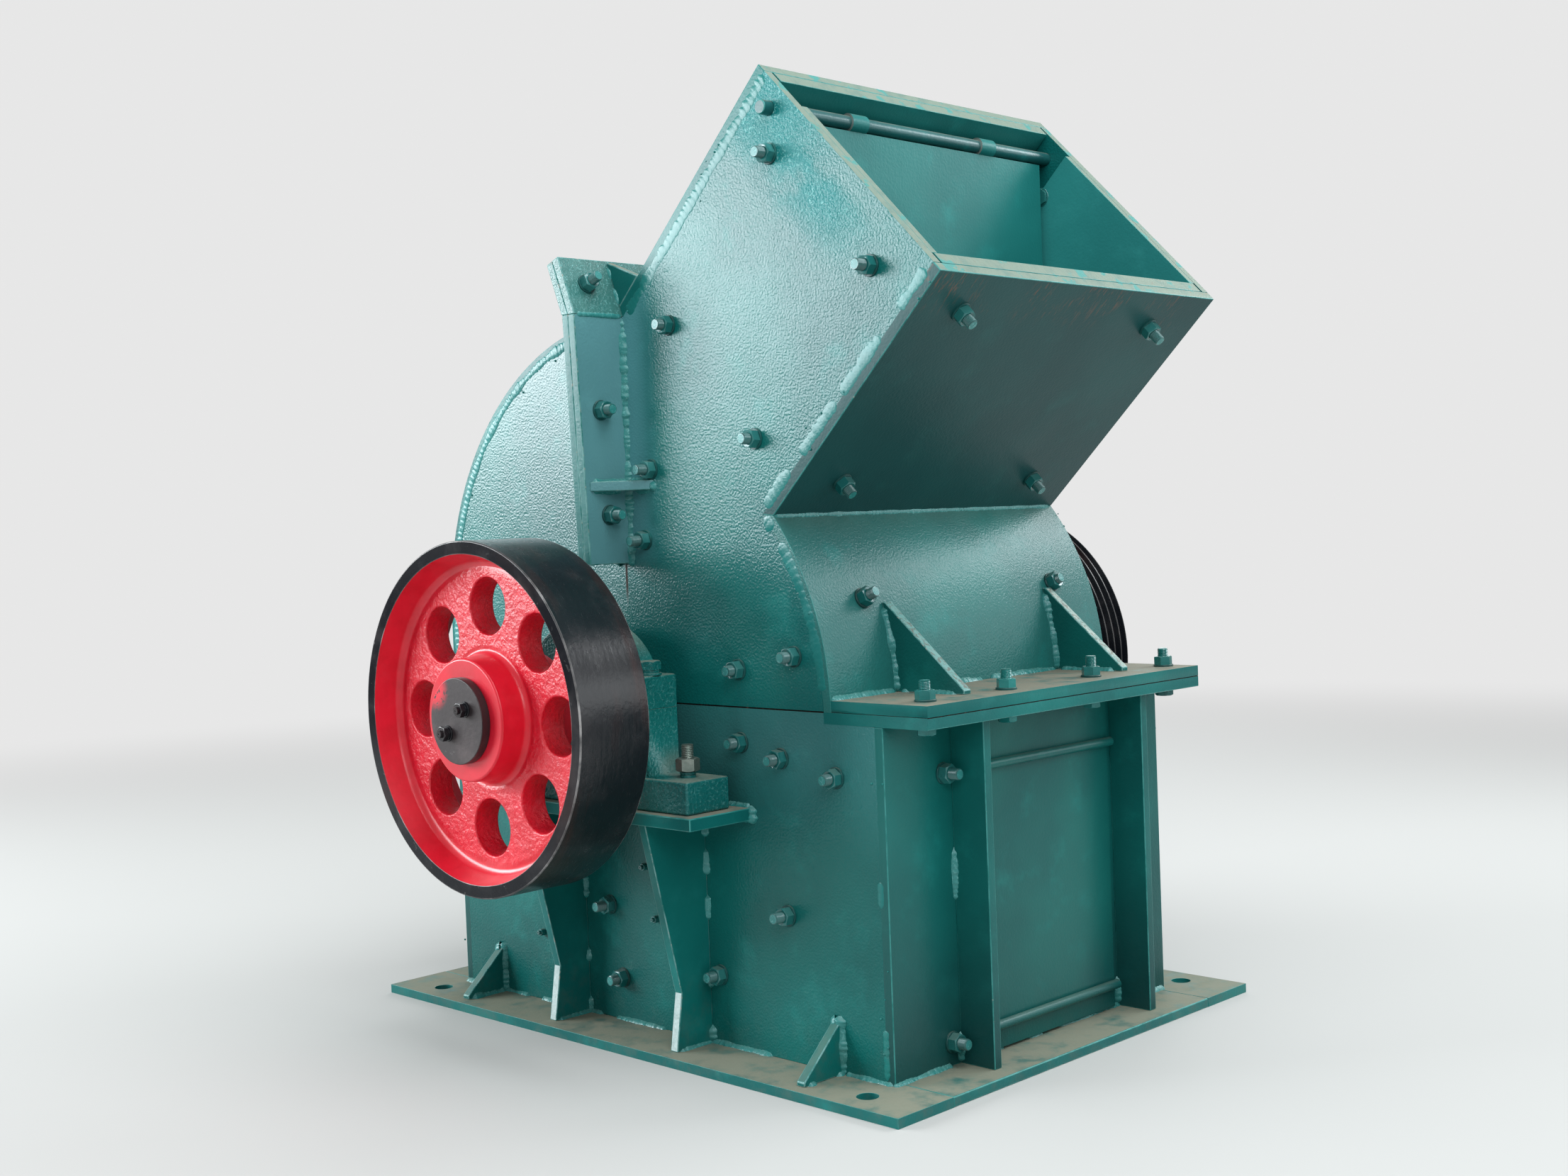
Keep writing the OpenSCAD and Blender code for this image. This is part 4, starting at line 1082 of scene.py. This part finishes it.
def bead(kit, path, out, wide, high, gaps=0.0, ripple=0.10, puddle=7.5, uneven=1.0, seed=0, paint=0):
    # a weld bead along path: overlapping puddles of uneven width, broken where gaps is above 0
    step, last = beadRows["step"], beadRows["points"] - 1
    spots = paced(path, step * mm)
    runs, run = [], []
    for k in range(len(spots)):
        if noise.noise(Vector((k * beadRows["breaks"], seed * 3.7, 1.3))) * 0.5 + 0.5 < gaps:
            runs.append(run)
            run = []
        else:
            run.append(k)
    runs.append(run)
    for run in [r for r in runs if len(r) > 4]:
        rows = []
        for i, k in enumerate(run):
            ahead = (spots[min(k + 1, len(spots) - 1)] - spots[max(k - 1, 0)]).normalized()
            side = ahead.cross(out).normalized()
            lump = noise.noise(Vector((k * beadRows["lumps"], seed * 1.9, 0.0))) * uneven
            fine = noise.noise(Vector((k * beadRows["grain"], seed * 2.3, 5.0))) * uneven
            phase = (k * step / puddle + lump * 0.5) % 1
            crest = 1 - phase * phase  # each puddle laps over the last one
            ends = min(1.0, (min(i, len(run) - 1 - i) + 0.6) / 3)
            w = wide * (0.90 + 0.40 * lump + 0.18 * fine + 0.10 * crest) * math.sqrt(ends) / 2
            h = high * (0.78 - ripple / 2 + 0.50 * lump + 0.18 * fine + ripple * crest) * ends
            centre = spots[k] + side * wide * 0.10 * fine * mm
            row = []
            for s in range(last + 1):
                t = math.pi * s / last
                lag = math.sin(t) * puddle * 0.3 * mm
                row.append(centre + side * (-math.cos(t) * w * mm)
                           + out * ((math.sin(t) * (h + 0.8) - 0.8) * mm) - ahead * lag)
            rows.append(kit.ring(row))
        for a, b in zip(rows, rows[1:]):
            kit.bridge(a, b, paint)
        kit.cap(rows[0], paint)
        kit.cap(rows[-1], paint)


def mirrored(points):
    return [Vector((p.x, -p.y, p.z)) for p in points]


def bothSides(kit, path, out, **look):
    # path is on the flywheel side
    bead(kit, path, out, **look)
    look["seed"] = look.get("seed", 0) + 40
    bead(kit, mirrored(path), Vector((out.x, -out.y, out.z)), **look)


def spatter(kit, path, out, count, spread, seed):
    # stray drops of weld metal beside a bead
    toss = random.Random(seed)
    for _ in range(count):
        k = toss.randrange(len(path) - 1)
        spot = path[k].lerp(path[k + 1], toss.random())
        side = (path[k + 1] - path[k]).normalized().cross(out)
        spot = spot + side * toss.uniform(-spread, spread) * mm
        size = toss.uniform(0.7, 1.9) * mm
        bmesh.ops.create_icosphere(kit.mesh, subdivisions=2, radius=size,
                                   matrix=Matrix.Translation(spot + out * size * 0.2))


def weld(kit, start, end, out, lay=bothSides, **look):
    # a straight bead; lay=bead for one that crosses the machine
    lay(kit, [Vector(start), Vector(end)], out, **look)


spread = 1 / math.sqrt(2)
short = 4 * mm  # beads stop this far short of a plate's edge


def midway(x, y, z):
    # halfway between two axes
    return Vector((x, y, z)) * spread


outSide = Vector((0, -1, 0))
flatSeam = {"ripple": 0.30, "puddle": 11, "uneven": 0.5}
seamLook = {
    "upper": {**flatSeam, "wide": 22, "high": 0.8, "gaps": 0.30, "uneven": 0.9},
    "lower": {**flatSeam, "wide": 22, "high": 0.55, "gaps": 0.30, "uneven": 0.8},
    "front": {**flatSeam, "wide": 22, "high": 0.65, "gaps": 0.28, "uneven": 0.7},
    "rear": {"ripple": 0.7, "puddle": 9, "uneven": 1.0, "wide": 16, "high": 1.5, "gaps": 0.14, "paint": 1},
    "front corner": {**flatSeam, "wide": 12, "high": 1.1, "gaps": 0.58},
    "rear corner": {**flatSeam, "wide": 12, "high": 1.1, "gaps": 0.58},
}
seamIn = {"upper": -4 * mm * ductUp, "lower": 4 * mm * ductUp}  # these two lie a little inward of the joint
seamEnds = 9 * mm
drops = {"count": 7, "spread": 18}
kit = Kit()
for k, (name, look) in enumerate(seamLook.items()):
    seam = [p + flat(seamIn.get(name, Vector((0, 0))), 0) for p in seams[name]]
    start, end = (seam[0] - seam[1]).normalized(), (seam[-2] - seam[-1]).normalized()
    seam = [seam[0] - seamEnds * start, *seam[1:-1], seam[-1] + seamEnds * end]
    bothSides(kit, seam, outSide, seed=k + 1, **look)
    spatter(kit, seam, outSide, **drops, seed=k)
    spatter(kit, mirrored(seam), -outSide, **drops, seed=k + 20)
kit.done("side_seam_welds", "housing", [tealSeam, tealWeldGlint], 60)

# roots of the cover's flanges, the stiffeners and the gussets at the top
coverWelds = {
    "front root": {"wide": 21, "high": 7, "gaps": 0.26, "puddle": 16, "uneven": 1.4, "seed": 12},
    "rear root": {"wide": 19, "high": 6.5, "gaps": 0.30, "puddle": 16, "uneven": 1.4, "seed": 13},
    "flange top": {"wide": 8, "high": 2.4, "gaps": 0.2, "seed": 14},
    "flange edge": {"wide": 8, "high": 2.6, "gaps": 0.1, "seed": 15},
    "stiffener": {"wide": 15, "high": 4.5, "gaps": 0.35},
    "stiffener end": {"wide": 16, "high": 5.5, "seed": 24},
    "hopper top": {"wide": 13, "high": 5, "gaps": 0.15, "seed": 25},
    "top gusset": {"wide": 9, "high": 3.6, "gaps": 0.25},
    "top corner": {"wide": 18, "high": 6, "gaps": 0.05, "seed": 29},
}
tip = uprightHigh.z
kit = Kit()
weld(kit, (uprightFront, -sideY, uprightLow.z), (uprightFront, -sideY, tip), midway(1, -1, 0),
     **coverWelds["front root"])
weld(kit, (uprightRear, -sideY, uprightLow.z), (uprightRear, -sideY, tip - 10 * mm), midway(-1, -1, 0),
     **coverWelds["rear root"])
weld(kit, (uprightFront, -sideY - short, tip), (uprightFront, uprightLow.y + short, tip),
     Vector((1, 0, 0)), **coverWelds["flange top"])
weld(kit, (uprightFront - 12 * mm, uprightLow.y, tip), (uprightRear + 12 * mm, uprightLow.y, tip), outSide,
     **coverWelds["flange edge"])
stiffLow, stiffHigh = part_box("flange_stiffeners")
for z, rise in ((stiffLow.z, -1), (stiffHigh.z, 1)):
    weld(kit, (uprightFront + short, -sideY, z), (stiffHigh.x - short, -sideY, z), midway(0, -1, rise),
         **coverWelds["stiffener"], seed=16 + rise)
    weld(kit, (uprightFront, -sideY - 6 * mm, z), (uprightFront, stiffLow.y + short, z), midway(1, 0, rise),
         **coverWelds["stiffener"], seed=19 + rise)
weld(kit, (stiffHigh.x, -sideY, stiffLow.z), (stiffHigh.x, -sideY, stiffHigh.z), midway(1, -1, 0),
     **coverWelds["stiffener end"])
weld(kit, flat(upperEnd, -sideY + 10 * mm), flat(upperEnd, sideY - 10 * mm),
     flat((leanOut + ductUp).normalized(), 0), lay=bead, **coverWelds["hopper top"])
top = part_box("body_top_flange")[1].z
leanTop = leanFoot + (top - leanFoot.y) / leanUp.y * leanUp
for y, face in ((-sideY, -1), (-sideY + plateT, 1)):  # both faces of each top gusset
    weld(kit, flat(upperEnd + 6 * mm * leanUp, y), flat(leanTop - 10 * mm * leanUp, y),
         Vector((leanOut.x, face, leanOut.y)).normalized(), **coverWelds["top gusset"], seed=26 + face)
weld(kit, flat(leanFoot, -sideY), flat(upperEndIn, -sideY), flat(leanOut, -1).normalized(),
     **coverWelds["top corner"])
kit.done("cover_joint_welds", "housing", [tealWeldGlint], 60)

# across the front: hopper to round plate, round plate to flange, gussets; and the skin's foot at the rear
frontWelds = {
    "hopper": {"wide": 15, "high": 3.2, "gaps": 0.12, "seed": 30},
    "round plate": {"wide": 20, "high": 6, "gaps": 0.3},
    "skin foot": {"wide": 18, "high": 5.5, "gaps": 0.3, "seed": 37},
    "gusset foot": {"wide": 17, "high": 5, "gaps": 0.32},
    "gusset back": {"wide": 21, "high": 6.5, "gaps": 0.16},
}
ribT = 15 * mm
frontFoot = shaft.x + math.sqrt((curves["round"] * mm) ** 2 - (flangeZ - shaft.y) ** 2)
gussetLow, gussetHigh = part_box("flange_gussets")
gussetTop = math.degrees(math.asin((gussetHigh.z - 6 * mm - shaft.y) / (curves["round"] * mm)))
gussetYs = (gussetLow.y + ribT / 2, gussetHigh.y - ribT / 2)
stops = [-sideY, *[y + face * ribT / 2 for y in gussetYs for face in (-1, 1)], sideY]
kit = Kit()
weld(kit, flat(junction, -sideY + short), flat(junction, sideY - short), Vector((1, 0, 0.1)).normalized(),
     lay=bead, **frontWelds["hopper"])
for k in (0, 2, 4):
    weld(kit, (frontFoot, stops[k] + short, flangeZ), (frontFoot, stops[k + 1] - short, flangeZ),
         midway(1, 0, 1), lay=bead, **frontWelds["round plate"], seed=31 + k)
weld(kit, (-frontX, -sideY + short, flangeZ), (-frontX, sideY - short, flangeZ), midway(-1, 0, 1),
     lay=bead, **frontWelds["skin foot"])
for y in gussetYs:
    for face in (-1, 1):
        edge = y + face * ribT / 2
        weld(kit, (frontFoot + 10 * mm, edge, flangeZ), (gussetHigh.x - 12 * mm, edge, flangeZ),
             midway(0, face, 1), lay=bead, **frontWelds["gusset foot"], seed=int(40 + y * 50 + face))
        out = heading(gussetTop / 2)
        bead(kit, arc(shaft, curves["round"] * mm, 2.5, gussetTop, edge),
             Vector((out.x, face, out.y)).normalized(), **frontWelds["gusset back"],
             seed=int(50 + y * 60 + face))
kit.done("front_welds", "housing", [tealWeldGlint], 60)

# bearing stands: shelf, ribs and corner gussets
standWelds = {
    "shelf": {"wide": 18, "high": 5.5, "gaps": 0.38},
    "shelf end": {"wide": 22, "high": 10},
    "rib": {"wide": 19, "high": 6.5, "gaps": 0.1},
    "rib foot": {"wide": 16, "high": 5, "gaps": 0.3},
    "corner back": {"wide": 20, "high": 7, "gaps": 0.16},
    "corner foot": {"wide": 17, "high": 5.4, "gaps": 0.25},
}
standRibs = {"x": (-160, 120), "foot": 68,
             "stitches": ((16, 40), (96, 118), (196, 232), (262, 300), (318, 346))}
kit = Kit()
for z, rise in ((shelfLow.z, -1), (shelfHigh.z, 1)):
    weld(kit, (shelfLow.x, -sideY, z), (shelfHigh.x, -sideY, z), midway(0, -1, rise),
         **standWelds["shelf"], seed=60 + rise)
for x, face in ((shelfLow.x, -1), (shelfHigh.x, 1)):
    weld(kit, (x, -sideY, shelfLow.z - 3 * mm), (x, -sideY, shelfHigh.z + short), midway(face, -1, 0),
         **standWelds["shelf end"], seed=63 + face)
for x in [mark * mm for mark in standRibs["x"]]:
    for face in (-1, 1):
        edge = x + face * ribT / 2
        for k, (low, high) in enumerate(standRibs["stitches"]):
            weld(kit, (edge, -sideY, low * mm), (edge, -sideY, high * mm), midway(face, -1, 0),
                 **standWelds["rib"], seed=int(66 + x * 30 + face + k))
        weld(kit, (edge, -sideY, baseZ), (edge, -sideY - standRibs["foot"] * mm, baseZ), midway(face, 0, 1),
             **standWelds["rib foot"], seed=int(80 + x * 30 + face))
cornerLow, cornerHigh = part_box("corner_gussets")
for end in (-1, 1):
    for face in (-1, 1):
        edge = end * (cornerHigh.x - ribT / 2) + face * ribT / 2
        weld(kit, (edge, -sideY, baseZ), (edge, -sideY, cornerHigh.z + short), midway(face, -1, 0),
             **standWelds["corner back"], seed=90 + end * 2 + face)
        weld(kit, (edge, -sideY, baseZ), (edge, cornerLow.y + short, baseZ), midway(face, 0, 1),
             **standWelds["corner foot"], seed=96 + end * 2 + face)
kit.done("stand_welds", "housing", [tealWeldGlint], 60)

# along the base, and up the front ribs
baseWeld = {"wide": 16, "high": 5, "gaps": 0.42}
frontRibWeld = {"wide": 18, "high": 6}
frontStitches = ((18, 60), (243, 316))
kit = Kit()
weld(kit, (-frontX, -sideY, baseZ), (frontX, -sideY, baseZ), midway(0, -1, 1), **baseWeld, seed=102)
for end in (-1, 1):
    weld(kit, (end * frontX, -sideY, baseZ), (end * frontX, sideY, baseZ), midway(end, 0, 1),
         lay=bead, **baseWeld, seed=104 + end)
for y, face, stitches in ((ribLow.y, -1, frontStitches), (ribLow.y + ribT, 1, frontStitches[:1]),
                          (ribHigh.y - ribT, -1, frontStitches[:1]), (ribHigh.y, 1, frontStitches)):
    for k, (low, high) in enumerate(stitches):
        weld(kit, (frontX, y, low * mm), (frontX, y, high * mm), midway(1, face, 0),
             lay=bead, **frontRibWeld, seed=int(110 + y * 40 + k))
kit.done("base_welds", "housing", [tealWeldGlint], 60)
print("welds laid")


# floor, light and camera
studio = {"ambient": 0.46, "background": 0.80}
floorLook = {"radii": (0.4, 1.5, 4, 30), "points": 64, "tone": (0.50, 0.50, 0.49), "fadeFrom": 2.2,
             "fadeTo": 5.5}
floorMesh = bmesh.new()
count = floorLook["points"]
rings = []
for radius in floorLook["radii"]:
    rings.append([floorMesh.verts.new((radius * math.cos(math.tau * k / count),
                                       radius * math.sin(math.tau * k / count), 0)) for k in range(count)])
floorMesh.faces.new(rings[0])
for a, b in zip(rings, rings[1:]):
    for k in range(count):
        floorMesh.faces.new((a[k], b[k], b[(k + 1) % count], a[(k + 1) % count]))
floorData = bpy.data.meshes.new("floor")
floorMesh.to_mesh(floorData)
floorMesh.free()
floor = bpy.data.objects.new("floor", floorData)
scene.collection.objects.link(floor)
ground = Recipe(bpy.data.materials.new("pale_floor"))
middle = ground.add("VectorMath", {"operation": "LENGTH"}, {0: ground.where()}, output="Value")
seen = ground.add("LightPath", output="Is Camera Ray")
far = middle.between(floorLook["fadeFrom"], floorLook["fadeTo"]) * seen
matt = ground.add("BsdfPrincipled", {}, {"Base Color": (*floorLook["tone"], 1), "Roughness": 0.8})
glow = ground.add("Emission", {}, {"Color": (1, 1, 1, 1), "Strength": studio["background"]})
blend = ground.add("MixShader", {}, {0: far, 1: matt, 2: glow})
ground.add("OutputMaterial", {}, {"Surface": blend})
floorData.materials.append(ground.owner)

world = bpy.data.worlds.new("studio")
scene.world = world
air = Recipe(world)
shown = air.add("LightPath", output="Is Camera Ray")
for ray in ("Is Glossy Ray", "Is Transmission Ray"):
    shown = shown.most(air.add("LightPath", output=ray))
soft = air.add("Background", {}, {"Color": (1, 1, 1, 1), "Strength": studio["ambient"]})
back = air.add("Background", {}, {"Color": (1, 1, 1, 1), "Strength": studio["background"]})
air.add("OutputWorld", {}, {"Surface": air.add("MixShader", {}, {0: shown, 1: soft, 2: back})})

# soft boxes: where each stands, what it looks at, width and height in metres, watts
lamps = {
    "window": {"at": (-3.6, -3.3, 1.85), "to": (0.1, -0.3, 0.95), "wide": 3.6, "tall": 1.6, "power": 285},
    "overhead": {"at": (1.4, -0.3, 3.3), "to": (0.1, 0, 0.7), "wide": 2.4, "tall": 2.4, "power": 80},
    "front": {"at": (3.4, -2.4, 2.7), "to": (0.2, 0, 0.8), "wide": 2.0, "tall": 1.6, "power": 42},
    "right": {"at": (2.7, 2.0, 1.22), "to": (0, 0, 0.8), "wide": 2.2, "tall": 1.0, "power": 16},
    "rear": {"at": (-2.4, 3.2, 2.2), "to": (0, 0, 0.7), "wide": 2.6, "tall": 2.0, "power": 45},
    "sheen": {"at": (1.5, 2.7, 2.45), "to": (0.3, 0, 0.75), "wide": 2.0, "tall": 0.9, "power": 55},
}
for name, look in lamps.items():
    light = bpy.data.lights.new(name, "AREA")
    light.shape, light.energy = "RECTANGLE", look["power"]
    light.size, light.size_y = look["wide"], look["tall"]
    light.color = (0.93, 0.98, 1.0)
    lamp = bpy.data.objects.new(name, light)
    aim = Vector(look["to"]) - Vector(look["at"])
    lamp.matrix_world = Matrix.Translation(look["at"]) @ aim.to_track_quat("-Z", "Y").to_matrix().to_4x4()
    scene.collection.objects.link(lamp)

shot = {"at": (2.1015, -2.1247, 0.7689), "heading": 44.81, "tilt": 87.947, "roll": -2.242, "lens": 42.347}
lens = bpy.data.cameras.new("camera")
lens.lens, lens.sensor_width, lens.sensor_fit = shot["lens"], 36, "HORIZONTAL"
lens.clip_start, lens.clip_end = 0.05, 100
camera = bpy.data.objects.new("camera", lens)
camera.matrix_world = (Matrix.Translation(shot["at"]) @ Matrix.Rotation(math.radians(shot["heading"]), 4, "Z")
                       @ Matrix.Rotation(math.radians(shot["tilt"]), 4, "X")
                       @ Matrix.Rotation(math.radians(shot["roll"]), 4, "Z"))
scene.collection.objects.link(camera)
scene.camera = camera
scene.view_settings.view_transform = "Standard"
print("stage, lights and camera set")
